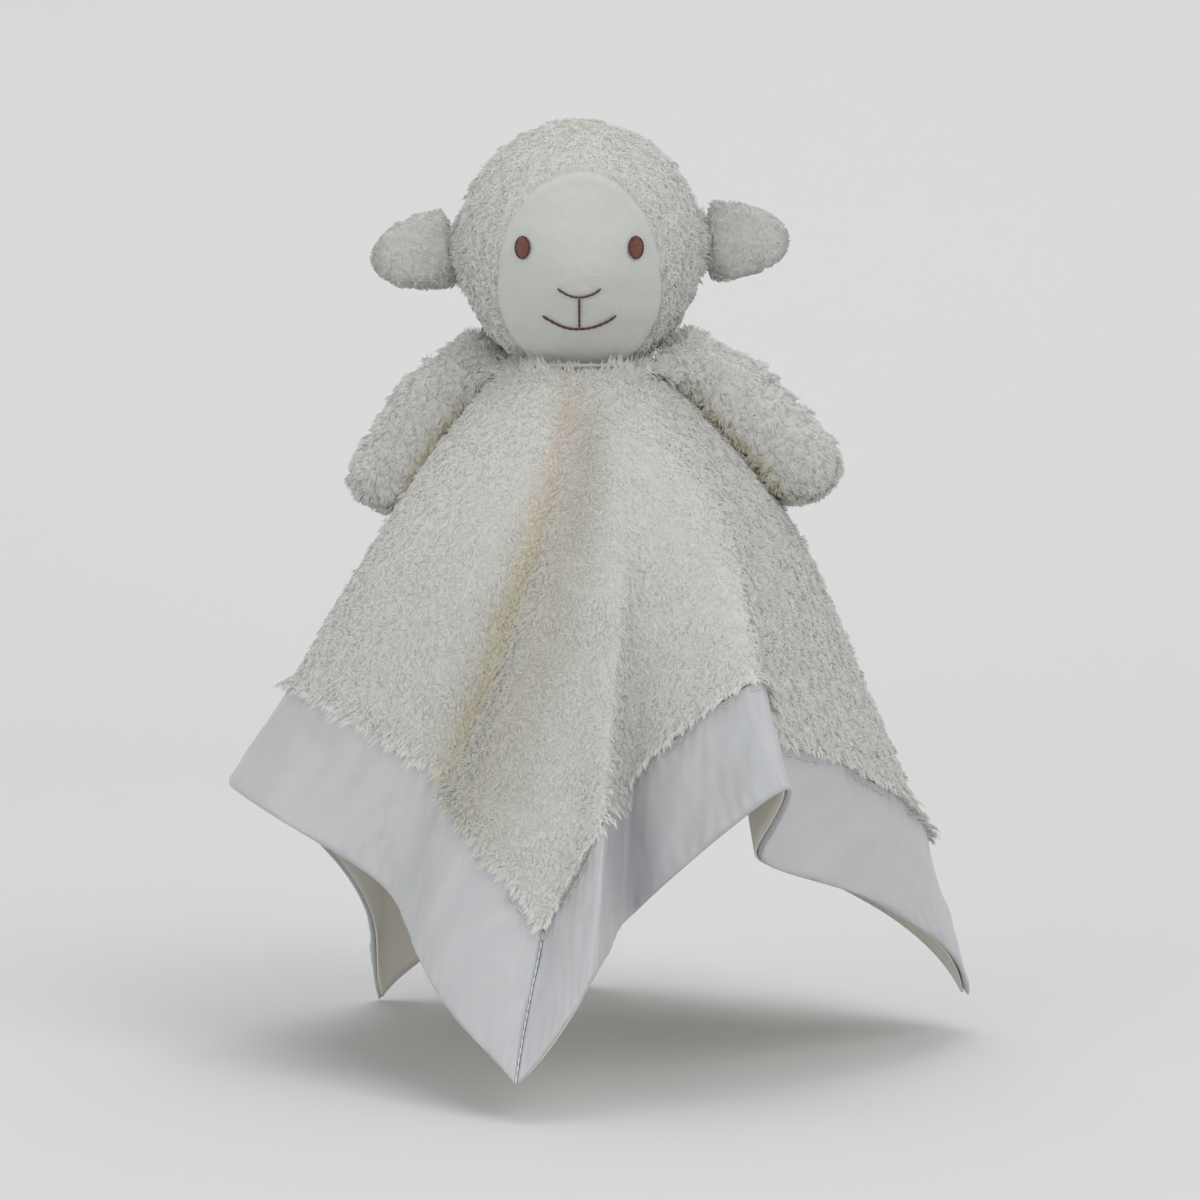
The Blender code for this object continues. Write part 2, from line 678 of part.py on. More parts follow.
def make_ear(name, side, level, droop, group, head):
    place = ear_place(side, level)
    empty = joint_empty(name + "_hinge", place, group, head)
    turn = Matrix.Translation(place) @ Matrix.Rotation(math.radians(side * droop), 4, "Y")
    turn = turn @ Matrix.Diagonal((side, 1.0, 1.0, 1.0))
    behind = Matrix.Diagonal((1.0, -1.0, 1.0, 1.0))
    front = ball_mesh(name + "_front", EAR_AROUND, EAR_UP, ear_form(EAR_FRONT_RISE), FLAT_BACK, turn=turn)
    hang_on(add_object(name + "_front", front, "velour", group), empty)
    back = ball_mesh(name + "_back", EAR_AROUND, EAR_UP, ear_form(EAR_BACK_RISE), FLAT_BACK, turn=turn @ behind)
    hang_on(add_object(name + "_back", back, "plush", group), empty)


# The arms
def arm_path(direction, first_slope, last_slope, distances):
    """Places along an arm: it leaves the neck seam, and bends down in its own upright plane."""
    steps = 200
    step = ARM_LENGTH / steps
    out = NECK_RADIUS + ARM_ROOT_OFFSET
    up = ARM_ROOT_RADIUS
    run = [(out, up)]
    for number in range(steps):
        share = (number + 0.5) / steps
        slope = first_slope + (last_slope - first_slope) * float(ease(share / ARM_BEND_SHARE))
        out += step * math.cos(math.radians(slope))
        up += step * math.sin(math.radians(slope))
        run.append((out, up))
    turn = math.radians(direction)
    places = []
    for distance in distances:
        out, up = run[round(distance / step)]
        places.append(Vector((out * math.sin(turn), -out * math.cos(turn), up)))
    return places


def arm_radius(distance, inset):
    """The arm's radius a distance from its root, a given depth inside its plush."""
    swell = float(ease(distance / (ARM_SWELL_SHARE * ARM_LENGTH)))
    radius = ARM_ROOT_RADIUS + (ARM_THICKNESS / 2 - ARM_ROOT_RADIUS) * swell - inset
    hand_start = ARM_LENGTH - ARM_THICKNESS / 2
    past = (distance - hand_start) / (ARM_LENGTH - inset - hand_start)
    past = min(max(past, 0.0), 1.0)
    return radius * math.sqrt(1 - past * past)


def arm_distances(inset):
    """Distances from the root: even along the arm, then closer round the hand."""
    hand_start = ARM_LENGTH - ARM_THICKNESS / 2
    hand_end = ARM_LENGTH - inset
    even = [hand_start * number / ARM_STEPS for number in range(ARM_STEPS)]
    even = [distance for distance in even if arm_radius(distance, inset) > ARM_ROOT_RADIUS / 2]
    closing = [math.sin(math.pi / 2 * number / HAND_STEPS) for number in range(HAND_STEPS + 1)]
    return even + [hand_start + (hand_end - hand_start) * share for share in closing]


def arm_mesh(name, angles, inset, group):
    distances = arm_distances(inset)
    radii = [arm_radius(distance, inset) for distance in distances]
    return swept_mesh(name, arm_path(*angles, distances), radii, ARM_RESOLUTION, group)


def clearance(mesh, base):
    """The least distance from a mesh's points to the outer side of base, below zero if they cross."""
    corners = [vert.co.copy() for vert in base.data.vertices]
    tree = BVHTree.FromPolygons(corners, [tuple(face.vertices) for face in base.data.polygons])
    least = math.inf
    for vert in mesh.vertices:
        place, normal, _, _ = tree.find_nearest(vert.co)
        least = min(least, (vert.co - place).dot(normal))
    return least


def make_arm(name, angles, plush, group):
    mesh = arm_mesh(name + "_cover", angles, 0.0, group)
    root = arm_path(*angles, [0.0])[0]
    lift = Vector()
    for _ in range(SEATING_STEPS):
        move = Vector((0.0, 0.0, GAP * SEAT_SHARE - clearance(mesh, plush)))
        mesh.transform(Matrix.Translation(move))
        lift += move
    empty = joint_empty(name + "_hinge", root + lift, group)

    build = bmesh.new()
    build.from_mesh(mesh)
    opening = min(build.faces, key=lambda face: (face.calc_center_median() - root - lift).length)
    bmesh.ops.delete(build, geom=[opening], context="FACES_ONLY")
    build.to_mesh(mesh)
    build.free()
    cover = add_object(name + "_cover", mesh, "plush", group)
    add_solidify(cover, ARM_COVER_THICKNESS)
    hang_on(cover, empty)

    mesh = arm_mesh(name + "_stuffing", angles, ARM_COVER_THICKNESS + 3 * GAP, group)
    mesh.transform(Matrix.Translation(lift))
    hang_on(add_object(name + "_stuffing", mesh, "stuffing", group), empty)


def main():
    clear_scene()
    group = new_collection("comfort_blanket_lovey")
    cutters = new_collection("cutters")
    plush = make_blanket(group)
    make_neck_thread(group)
    head = joint_empty("head_turn", Vector((0.0, 0.0, 0.0)), group)
    make_head(group, cutters, head)
    make_features(group, head)
    make_ear("ear_left", 1, EAR_LEFT_LEVEL, EAR_LEFT_DROOP, group, head)
    make_ear("ear_right", -1, EAR_RIGHT_LEVEL, EAR_RIGHT_DROOP, group, head)
    make_arm("arm_left", ARM_LEFT_ANGLES, plush, group)
    make_arm("arm_right", ARM_RIGHT_ANGLES, plush, group)


main()
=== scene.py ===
# %% [markdown]
# # A comfort blanket lovey, from plain solids to plush, satin and thread
#
# The toy is a lamb's head and two stuffed arms on the middle of a square plush blanket that hangs
# in folds. Its packed model has plain solids that are right in size and place. This lesson
# dresses them: it makes the pile, the satin hem, the lining and the embroidery, then sets up the
# light and the camera.

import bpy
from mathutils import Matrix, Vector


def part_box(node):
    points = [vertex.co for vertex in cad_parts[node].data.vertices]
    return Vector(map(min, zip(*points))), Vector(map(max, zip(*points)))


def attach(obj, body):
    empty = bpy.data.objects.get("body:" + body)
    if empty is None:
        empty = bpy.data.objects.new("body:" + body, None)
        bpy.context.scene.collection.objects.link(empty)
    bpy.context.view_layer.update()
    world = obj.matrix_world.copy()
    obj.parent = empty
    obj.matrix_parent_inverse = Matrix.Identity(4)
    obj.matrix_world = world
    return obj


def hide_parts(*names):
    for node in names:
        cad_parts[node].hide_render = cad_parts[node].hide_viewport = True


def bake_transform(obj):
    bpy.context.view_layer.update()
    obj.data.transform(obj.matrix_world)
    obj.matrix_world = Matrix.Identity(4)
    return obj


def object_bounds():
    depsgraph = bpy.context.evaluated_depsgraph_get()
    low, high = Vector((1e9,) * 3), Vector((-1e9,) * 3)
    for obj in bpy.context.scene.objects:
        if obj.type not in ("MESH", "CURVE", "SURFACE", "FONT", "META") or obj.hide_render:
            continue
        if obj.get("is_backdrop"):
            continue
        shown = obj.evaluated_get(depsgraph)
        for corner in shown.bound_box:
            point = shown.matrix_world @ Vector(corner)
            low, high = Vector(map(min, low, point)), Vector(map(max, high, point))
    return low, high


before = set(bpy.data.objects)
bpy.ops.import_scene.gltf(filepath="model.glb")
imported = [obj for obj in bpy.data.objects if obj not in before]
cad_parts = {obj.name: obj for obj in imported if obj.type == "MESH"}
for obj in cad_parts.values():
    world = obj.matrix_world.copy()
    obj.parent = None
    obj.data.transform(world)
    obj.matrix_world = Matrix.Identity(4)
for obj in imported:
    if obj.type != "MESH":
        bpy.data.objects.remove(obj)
start_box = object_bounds()
print("nodes:", len(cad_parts))

# %% Imports and units
import math

import bmesh
import bpy
import numpy as np
from mathutils import Vector
from mathutils.kdtree import KDTree

MM = 0.001


def size_of(box):
    """A box's three sides, in millimetres."""
    return [round((high - low) / MM, 1) for low, high in zip(box[0], box[1])]


print("the model's size, mm:", size_of(start_box))

# %% [markdown]
# ## Meshes from tables of points
#
# Every cloth here is a grid of points. A mesh can be grown face by face with bmesh, which is
# handy for a few hundred faces and slow for a million. Whole arrays are handed over at once here
# instead, so one function takes points and faces, and another numbers the faces of a grid.

# %% Meshes and pieces
group = bpy.data.collections.new("lovey_surfaces")
bpy.context.scene.collection.children.link(group)


def make_mesh(name, points, faces, flat=None):
    """A smooth mesh from points and tables of faces, with the cloth's flat places as its UV map."""
    mesh = bpy.data.meshes.new(name)
    mesh.vertices.add(len(points))
    mesh.vertices.foreach_set("co", np.asarray(points, np.float32).ravel())
    corners = np.concatenate([table.ravel() for table in faces]).astype(np.int32)
    sides = np.concatenate([np.full(len(table), table.shape[1]) for table in faces])
    starts = np.concatenate([[0], np.cumsum(sides)[:-1]]).astype(np.int32)
    mesh.loops.add(len(corners))
    mesh.loops.foreach_set("vertex_index", corners)
    mesh.polygons.add(len(sides))
    mesh.polygons.foreach_set("loop_start", starts)
    if flat is not None:
        layer = mesh.uv_layers.new(name="flat")
        layer.data.foreach_set("uv", np.asarray(flat, np.float32)[corners].ravel())
    mesh.update(calc_edges=True)
    mesh.shade_smooth()
    return mesh


def add_piece(name, mesh, material, body, bend=None):
    """Shows a mesh as a piece that moves with a body. Given bend points, it is left where it is
    instead, not attached to the body.
    """
    mesh.materials.clear()
    mesh.materials.append(material)
    piece = bpy.data.objects.new(name, mesh)
    group.objects.link(piece)
    if bend is None:
        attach(piece, body)
    else:
        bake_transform(piece)
    return piece


print("pieces go into", group.name)


# %% Faces of grids
def grid_faces(rows, columns, closed=False):
    """The faces of a grid, numbered row by row. A closed one joins its last column to its first."""
    last = columns if closed else columns - 1
    row, column = np.meshgrid(np.arange(rows - 1), np.arange(last), indexing="ij")
    after = (column + 1) % columns
    here, below = row * columns, (row + 1) * columns
    corners = [here + column, below + column, below + after, here + after]
    return np.stack(corners, axis=-1).reshape(-1, 4)


def two_skins(upper, under, faces, rim):
    """One closed layer of cloth: upper and under skins of the same grid, joined along their rim."""
    count = len(upper)
    points = np.concatenate([upper, under])
    ahead = np.roll(rim, -1)
    walls = np.stack([rim, rim + count, ahead + count, ahead], axis=-1)
    return points, [np.concatenate([faces, faces[:, ::-1] + count, walls])]


def grid_rim(rows, columns):
    """The points round the outside of a grid, in order."""
    number = np.arange(rows * columns).reshape(rows, columns)
    return np.concatenate([number[0, ::-1], number[1:, 0], number[-1, 1:], number[-2:0:-1, -1]])


print("a 3 by 4 grid has", len(grid_faces(3, 4)), "faces and", len(grid_rim(3, 4)), "rim points")

# %% [markdown]
# ## Soft unevenness
#
# Nothing sewn is exact: cloth has soft lumps, and a filling is never even. Blender's own noise
# textures could move the points through a modifier. Waves that run in random directions do the
# same in one line of arithmetic, add up to a smooth unevenness of a chosen size, and come out the
# same each time from a fixed seed.


# %% Waves, eased steps and near neighbours
def unevenness(places, size, seed, waves=14):
    """Smooth random waves about size long, mostly between -1 and 1."""
    random = np.random.default_rng(seed)
    ways = random.normal(size=(waves, places.shape[-1]))
    ways /= np.linalg.norm(ways, axis=1, keepdims=True)
    total = np.zeros(places.shape[:-1])
    for way in ways:
        length = size * random.uniform(0.7, 1.6)
        total += np.sin(places @ way * (2 * math.pi / length) + random.uniform(0, 2 * math.pi))
    return total * math.sqrt(2 / waves) / 2


def ease(value):
    """0 below 0, 1 above 1, and a smooth rise between."""
    value = np.clip(value, 0.0, 1.0)
    return value * value * (3 - 2 * value)


def hump(share, rise_from, rise_over, fall_from, fall_over):
    """Rises smoothly from 0 to 1, then falls back: where each starts, and over how much."""
    return ease((share - rise_from) / rise_over) * (1 - ease((share - fall_from) / fall_over))


def unit(vectors):
    return vectors / np.maximum(np.linalg.norm(vectors, axis=-1, keepdims=True), 1e-12)


def neighbour_finder(places):
    """A function that gives, for each of many points, the number of the nearest place."""
    tree = KDTree(len(places))
    for number, place in enumerate(places):
        tree.insert(place, number)
    tree.balance()
    return lambda points: np.array([tree.find(point)[1] for point in points])


sample = unevenness(np.random.default_rng(1).uniform(0, 0.1, (1000, 3)), 0.01, 2)
print("unevenness runs from", round(sample.min(), 2), "to", round(sample.max(), 2))

# %% [markdown]
# ## How the blanket hangs
#
# The blanket is a square held up by its middle. Cloth simulation could drop it over a peg, but
# its folds would fall where they like, not where the photograph and the packed model have them. A
# line drawn from the middle to the edge keeps its length however the cloth folds. So the drape is
# described by lines: where each one ends, and how steeply it falls near the neck, below the neck
# and in the hem. Between those lines a smooth curve fills in.

# %% The blanket's sizes and its table of folds
SIDE = 0.364                    # of the square, laid flat
HALF = SIDE / 2
HEM = 0.038                     # the satin's width
INNER = HALF - HEM              # from the middle to the plush's edge
NECK_RADIUS = 0.018
SHOULDER = 0.110                # cloth over which the upper slope eases into the lower one
ROLL = 0.012                    # cloth that rolls over from the flat neck into the slope
NECK_TURN = 5.0                 # how far the cloth is turned at the neck, in degrees
FOLD_SOFTNESS = 0.0062          # how far a fold is rounded by the cloth's thickness
FLARE_START, FLARE_RUN = 0.26, 0.63     # where the hem's own slope begins above its seam, in hem widths

# Flat angle, way in which the line's end hangs, and its slopes: near the neck, below, in the hem
FOLDS = np.array([
    (-80.6, -130.0, 43.0, 15.0, 13.0),
    (-62.6, -105.0, 47.0, 18.0, 20.0),
    (-54.5, -93.0, 47.0, 24.0, 24.0),
    (-45.0, -79.0, 44.0, 28.6, 33.0),
    (-23.0, -44.0, 42.0, 12.0, 13.0),
    (-8.0, -23.0, 44.0, 15.0, 24.0),
    (0.0, -8.0, 38.0, 15.0, 45.0),
    (10.0, 3.0, 44.0, 17.0, 31.0),
    (19.0, 10.0, 44.0, 8.0, 11.0),
    (30.0, 20.0, 48.0, 20.0, 25.0),
    (45.0, 29.5, 45.0, 36.0, 40.0),
    (61.0, 38.0, 43.0, 16.5, 18.0),
    (75.0, 66.0, 48.0, 18.0, 16.0),
    (90.0, 99.0, 51.0, 23.0, 17.0),
    (112.0, 132.0, 46.0, 12.0, 11.0),
    (128.0, 145.0, 49.0, 24.0, 25.0),
    (145.0, 157.0, 44.0, 12.0, 11.0),
    (162.0, 168.0, 48.0, 21.0, 22.0),
    (180.0, 179.0, 46.0, 15.0, 14.0),
    (198.0, 189.0, 47.0, 20.0, 20.0),
    (221.0, 198.0, 44.0, 13.0, 13.0),
    (246.0, 206.0, 46.0, 17.0, 17.0),
    (264.8, 212.0, 44.0, 13.0, 13.0),
    (270.0, 222.0, 44.0, 14.5, 15.0),
])
print("fold lines:", len(FOLDS))


# %% A smooth curve through the table
def fold_value(column, angles, turn=0.0):
    """A column of FOLDS at any flat angles, by a smooth curve that never passes its rows."""
    knots = np.concatenate([FOLDS[:, 0] - 360, FOLDS[:, 0], FOLDS[:, 0] + 360])
    values = np.concatenate([FOLDS[:, column] - turn, FOLDS[:, column], FOLDS[:, column] + turn])
    widths = np.diff(knots)
    rises = np.diff(values) / widths
    before, after = rises[:-1], rises[1:]
    same_way = before * after > 0
    before = np.where(same_way, before, 1.0)
    after = np.where(same_way, after, 1.0)
    first = 2 * widths[1:] + widths[:-1]
    second = widths[1:] + 2 * widths[:-1]
    tangents = np.zeros(len(knots))
    tangents[1:-1] = np.where(same_way, (first + second) / (first / before + second / after), 0.0)
    at = np.clip(np.searchsorted(knots, angles, side="right") - 1, 0, len(widths) - 1)
    part = (angles - knots[at]) / widths[at]
    return (
        (2 * part**3 - 3 * part**2 + 1) * values[at]
        + (part**3 - 2 * part**2 + part) * widths[at] * tangents[at]
        + (3 * part**2 - 2 * part**3) * values[at + 1]
        + (part**3 - part**2) * widths[at] * tangents[at + 1]
    )


def edge_distance(angles):
    """From the blanket's middle to its edge, along a flat angle."""
    return HALF / np.cos(np.radians(angles % 90.0 - 45.0))


def from_middle(x, y):
    """Of flat places: the angle from the front corner, and the distance from the middle."""
    return np.degrees(np.arctan2(y, x)) + 45.0, np.hypot(x, y)


print("the front corner's line is", round(float(edge_distance(0.0)) / MM), "mm long")

# %% The big fold, left of the front corner
CREASE_ANGLE, CREASE_DRIFT = 10.0, 11.0     # degrees from the corner at the neck, and more below
CREASE_WIDTH, CREASE_DEPTH = 0.010, 0.011


def run_share(angles, distances):
    """How far down its line a place of the cloth is: 0 at the neck, 1 at the edge."""
    return np.maximum(distances - NECK_RADIUS, 0.0) / (edge_distance(angles) - NECK_RADIUS)


def across_crease(angles, distances):
    """How far along the cloth a place lies from the big fold's line."""
    share = run_share(angles, distances)
    off = (angles + CREASE_ANGLE + CREASE_DRIFT * share + 180.0) % 360.0 - 180.0
    return np.radians(off) * distances


def crease_share(angles, distances):
    """1 in the deepest part of the big fold, and 0 away from it."""
    across = across_crease(angles, distances) / CREASE_WIDTH
    along = hump(run_share(angles, distances), 0.06, 0.62, 0.68, 0.32)
    return along * np.exp(-across * across)


print("halfway down, the big fold is at", round(float(crease_share(-15.5, 0.138)), 2), "of its depth")


# %% From the table to the draped cloth
def folded(angles, distances):
    """Places of the cloth's face, for flat angles and distances from its middle."""
    hem_turn = fold_value(1, angles, 360.0)
    upper = fold_value(2, angles)
    lower = fold_value(3, angles)
    flare = fold_value(4, angles)
    edge = edge_distance(angles)
    past_neck = np.maximum(distances - NECK_RADIUS, 0.0)
    flare_start = edge * INNER / HALF - NECK_RADIUS - FLARE_START * HEM
    radius = np.minimum(distances, NECK_RADIUS)
    height = np.zeros_like(radius)
    steps = 50
    step = past_neck / steps
    for number in range(steps):
        here = step * (number + 0.5)
        slope = lower + (upper - lower) * (1 - ease(here / SHOULDER))
        slope = slope + (90.0 - upper) * (1 - ease(here / ROLL))
        slope = np.radians(slope + (flare - lower) * ease((here - flare_start) / (FLARE_RUN * HEM)))
        radius = radius + step * np.sin(slope)
        height = height - step * np.cos(slope)
    radius = radius - CREASE_DEPTH * crease_share(angles, distances)
    turned = ease(run_share(angles, distances))
    turn = np.radians(angles + NECK_TURN + (hem_turn - angles - NECK_TURN) * turned)
    return np.stack([radius * np.sin(turn), -radius * np.cos(turn), height], axis=-1)


def drape(angles, distances):
    """The cloth's face, each place averaged with its neighbours, as thick plush rounds a fold."""
    turn = np.degrees(FOLD_SOFTNESS / np.maximum(distances, NECK_RADIUS))
    places = 0.0
    for offset, weight in ((-1.0, 0.1), (-0.5, 0.2), (0.0, 0.4), (0.5, 0.2), (1.0, 0.1)):
        places = places + weight * folded(angles + offset * turn, distances)
    return places


corner = drape(np.zeros(1), np.array([edge_distance(0.0)]))
print("the front corner hangs at, mm:", np.round(corner / MM, 1))

# %% [markdown]
# ## The cloth as a map
#
# Backing, hem, lining, stitches and pile are all the same cloth at different depths. Each could
# be draped on its own, and they would then cut through each other. So the cloth's places are
# worked out once, on a fine square grid of the flat blanket. The front corner is at (+, -), the
# lamb's left corner at (+, +). Any piece then looks up its points in that map, by its flat place
# and by how deep it lies under the face.

# %% The map of the draped cloth
FINE_STEP = 0.0013
map_count = int(round(SIDE / FINE_STEP)) + 1
line = np.linspace(-HALF, HALF, map_count)
MAP_STEP = line[1] - line[0]
angles, distances = from_middle(*np.meshgrid(line, line, indexing="ij"))
cloth_map = drape(angles, distances)
print("cloth map:", cloth_map.shape)


# %% Blurring the map, and the way that it looks
def blurred(table, reach):
    """A table averaged along both of its directions, over a distance of flat cloth."""
    steps = max(1, int(round(reach / MAP_STEP)))
    for axis in (0, 1):
        first, last = [np.repeat(np.take(table, [end], axis), steps, axis) for end in (0, -1)]
        total = np.cumsum(np.concatenate([first, table, last], axis), axis)
        zero = np.zeros_like(np.take(total, [0], axis))
        total = np.concatenate([zero, total], axis)
        width = 2 * steps + 1
        size = table.shape[axis]
        further = np.take(total, range(width, width + size), axis)
        table = (further - np.take(total, range(size), axis)) / width
    return table


def map_normals(places):
    """The way that the cloth's face looks, at each place of the map."""
    along = np.gradient(places, axis=0)
    across = np.gradient(places, axis=1)
    normals = unit(np.cross(along, across))
    middle = len(places) // 2
    return normals if normals[middle, middle, 2] > 0 else -normals


def pushed(places, amounts):
    """The map's places moved outwards by an amount each, or inwards where it is below 0."""
    return places + blurred(map_normals(places), PUSH_BLUR) * amounts[..., None]


PUSH_BLUR, LAYER_BLUR = 0.004, 0.0055
print("a blur reaches over", int(round(LAYER_BLUR / MAP_STEP)), "steps of the map")

# %% Flutes behind, and a valley under the chin
FLUTE_HEIGHT, FLUTE_ANGLE = 0.0017, 7.5
VALLEY_DEPTH, VALLEY_WIDTH = 0.0027, 0.0065

# Behind, where the cloth is bunched most, small flutes take up the rest of its width
flute_rise = ease((distances - 0.055) / 0.09) * hump(angles % 360.0, 108.0, 22.0, 240.0, 22.0)
flutes = FLUTE_HEIGHT * flute_rise * np.sin(2 * math.pi * angles / FLUTE_ANGLE)
cloth_map = pushed(cloth_map, flutes)
print("flutes behind are up to", round(flutes.max() / MM, 1), "mm high")

# In front, a narrow valley runs down from the chin into the big fold
valley = hump(run_share(angles, distances), -0.01, 0.07, 0.35, 0.35)
valley = VALLEY_DEPTH * valley * np.exp(-((across_crease(angles, distances) / VALLEY_WIDTH) ** 2))
cloth_map = pushed(cloth_map, -valley)
print("the valley is up to", round(valley.max() / MM, 1), "mm deep")

# %% Looking up the map
face_normals = map_normals(cloth_map)
layer_normals = unit(blurred(blurred(face_normals, LAYER_BLUR), LAYER_BLUR))
print("the neck looks", np.round(face_normals[map_count // 2, map_count // 2], 2))


def look_up(table, places):
    """Values of a map's table at flat places (x, y), between its grid points."""
    at = (np.asarray(places) + HALF) / MAP_STEP
    low = np.clip(np.floor(at).astype(int), 0, map_count - 2)
    part = np.clip(at - low, 0.0, 1.0)
    i, j = low[..., 0], low[..., 1]
    s, t = part[..., 0:1], part[..., 1:2]
    return (
        table[i, j] * (1 - s) * (1 - t) + table[i + 1, j] * s * (1 - t)
        + table[i, j + 1] * (1 - s) * t + table[i + 1, j + 1] * s * t
    )


def cloth(places, depth):
    """Points of a layer that lies a depth under the cloth's face, at flat places."""
    depth = np.broadcast_to(depth, places.shape[:-1])[..., None]
    return look_up(cloth_map, places) - look_up(layer_normals, places) * depth


def skin_area(points, faces):
    """The area of a table of four-sided faces."""
    first = points[faces[:, 2]] - points[faces[:, 0]]
    second = points[faces[:, 3]] - points[faces[:, 1]]
    return np.linalg.norm(np.cross(first, second), axis=1).sum() / 2


whole_area = skin_area(cloth_map.reshape(-1, 3), grid_faces(map_count, map_count))
print("draped area as a share of the flat square:", round(whole_area / SIDE**2, 3))

# %% [markdown]
# ## Shader maths
#
# A material's colour, gloss and relief come from textures that are added and multiplied. The
# nodes could be made and linked one by one, which takes many lines and hides the sum that they
# stand for. One small class wraps a socket instead, so that it reads as plain arithmetic.


# %% A wire with arithmetic
class Wire:
    """A socket of a material's node tree, with arithmetic."""

    def __init__(self, tree, socket):
        self.tree = tree
        self.socket = socket

    def node(self, kind, settings=None, output=0, **sockets):
        """Adds any node: its settings first, then its sockets by name, with _ for a space."""
        made = self.tree.nodes.new(kind)
        for name, value in (settings or {}).items():
            setattr(made, name, value)
        for name, value in sockets.items():
            plug(self.tree, value, made.inputs[name.replace("_", " ")])
        return Wire(self.tree, made.outputs[output])

    def maths(self, operation, first, second):
        """One node of arithmetic, for vectors and colours where this wire carries them."""
        if self.socket.type in ("VECTOR", "RGBA"):
            made = self.tree.nodes.new("ShaderNodeVectorMath")
            first, second = as_vector(first), as_vector(second)
        else:
            made = self.tree.nodes.new("ShaderNodeMath")
        made.operation = operation
        plug(self.tree, first, made.inputs[0])
        plug(self.tree, second, made.inputs[1])
        return Wire(self.tree, made.outputs[0])

    def __add__(self, other):
        return self.maths("ADD", self, other)

    __radd__ = __add__

    def __sub__(self, other):
        return self.maths("SUBTRACT", self, other)

    def __rsub__(self, other):
        return self.maths("SUBTRACT", other, self)

    def __mul__(self, other):
        return self.maths("MULTIPLY", self, other)

    __rmul__ = __mul__

    def most(self, other):
        """The larger of this and another."""
        return self.maths("MAXIMUM", self, other)

    def mix(self, first, second):
        """first where this is 0, second where it is 1."""
        made = self.tree.nodes.new("ShaderNodeMix")
        made.data_type = "RGBA"
        plug(self.tree, self, made.inputs["Factor"])
        colours = [socket for socket in made.inputs if socket.type == "RGBA"]
        plug(self.tree, first, colours[0])
        plug(self.tree, second, colours[1])
        shown = [socket for socket in made.outputs if socket.type == "RGBA"]
        return Wire(self.tree, shown[0])


print("a wire has", len([name for name in vars(Wire) if name.startswith("__r")]), "reflected operators")


# %% Plugs, and the start of a material
def as_vector(value):
    return (value, value, value) if isinstance(value, (int, float)) else value


def plug(tree, value, socket):
    """Links a wire to a socket, or sets the socket to a constant."""
    if isinstance(value, Wire):
        tree.links.new(value.socket, socket)
    elif isinstance(value, (tuple, list)) and socket.type == "RGBA" and len(value) == 3:
        socket.default_value = (*value, 1.0)
    else:
        socket.default_value = value


def new_material(name, roughness, **constants):
    """A material with a Principled shader, and a wire to start its textures from."""
    made = bpy.data.materials.new(name)
    made.use_nodes = True
    tree = made.node_tree
    shader = tree.nodes["Principled BSDF"]
    shader.inputs["Roughness"].default_value = roughness
    for key, value in constants.items():
        shader.inputs[key.replace("_", " ")].default_value = value
    spot = Wire(tree, tree.nodes.new("ShaderNodeTexCoord").outputs["Object"])
    return made, tree, shader, spot


def set_relief(tree, shader, height, depth, strength):
    """Fine relief: a height texture, how deep its full range is in metres, and how much of it shows."""
    bump = height.node("ShaderNodeBump", Distance=depth, Strength=strength, Height=height)
    plug(tree, bump, shader.inputs["Normal"])


def noise(spot, scale, detail=2.0, roughness=0.5):
    """Cloudy noise with a scale per metre."""
    sockets = {"Vector": spot, "Scale": scale, "Detail": detail, "Roughness": roughness}
    return spot.node("ShaderNodeTexNoise", **sockets)


def bands(spot, direction, scale, **sockets):
    """Soft stripes side by side, as threads lie."""
    settings = {"wave_type": "BANDS", "bands_direction": direction}
    return spot.node("ShaderNodeTexWave", settings, 1, Vector=spot, Scale=scale, **sockets)


print("helpers for materials are ready, materials so far:", len(bpy.data.materials))

# %% [markdown]
# ## Plush and velour
#
# Plush is off-white and matt, with a faint glow at a grazing angle, because its fibres stand on
# end. Deep in the big fold it carries painted shade, a touch warmer and darker, and so does the
# arms' plush where it lies close to the blanket. A painted image could hold that painted shade,
# but would be a second file to keep in step with the folds. Painted shade worked out for each
# point of the mesh follows them by itself. Velour, on the face and the ears' fronts, is the same
# fabric shorn short, so it has finer relief and a slightly darker tone.

# %% Plush and velour
# Each finish has a darker and a lighter tone, which a noise or its threads mix
PLUSH_TONES = (0.635, 0.637, 0.603), (0.668, 0.670, 0.637)
VELOUR_TONES = (0.541, 0.546, 0.517), (0.565, 0.570, 0.541)
# Painted shade: factors on the plush's colour along the big fold and on the slope beside it
PAINTED_SHADE_ROSE = (0.98, 0.90, 0.86)      # what multiplies the plush's colour deep in the fold, near the chin
PAINTED_SHADE_SAND = (0.93, 0.86, 0.72)      # and further down
FOLD_SHADE = (0.81, 0.79, 0.76)     # and on the slope to the right of it


def plush_material(name, shade_painted=False):
    """Long pile. One with painted shade is multiplied by the painted shade that its mesh carries."""
    soft = {"Sheen_Weight": 0.25, "Sheen_Roughness": 0.5, "Specular_IOR_Level": 0.15}
    made, tree, shader, spot = new_material(name, 0.95, **soft)
    tufts = noise(spot, 260.0, 3.0)
    colour = tufts.mix(*PLUSH_TONES)
    # painted shade from the mesh darkens the plush in the big fold and where the arms lie on the
    # blanket
    if shade_painted:
        colour = colour * spot.node("ShaderNodeAttribute", {"attribute_name": "painted_shade"}, "Color")
    plug(tree, colour, shader.inputs["Base Color"])
    plug(tree, 0.88 + 0.1 * tufts, shader.inputs["Roughness"])
    set_relief(tree, shader, noise(spot, 900.0, 4.0, 0.7), 0.0004, 0.6)
    return made


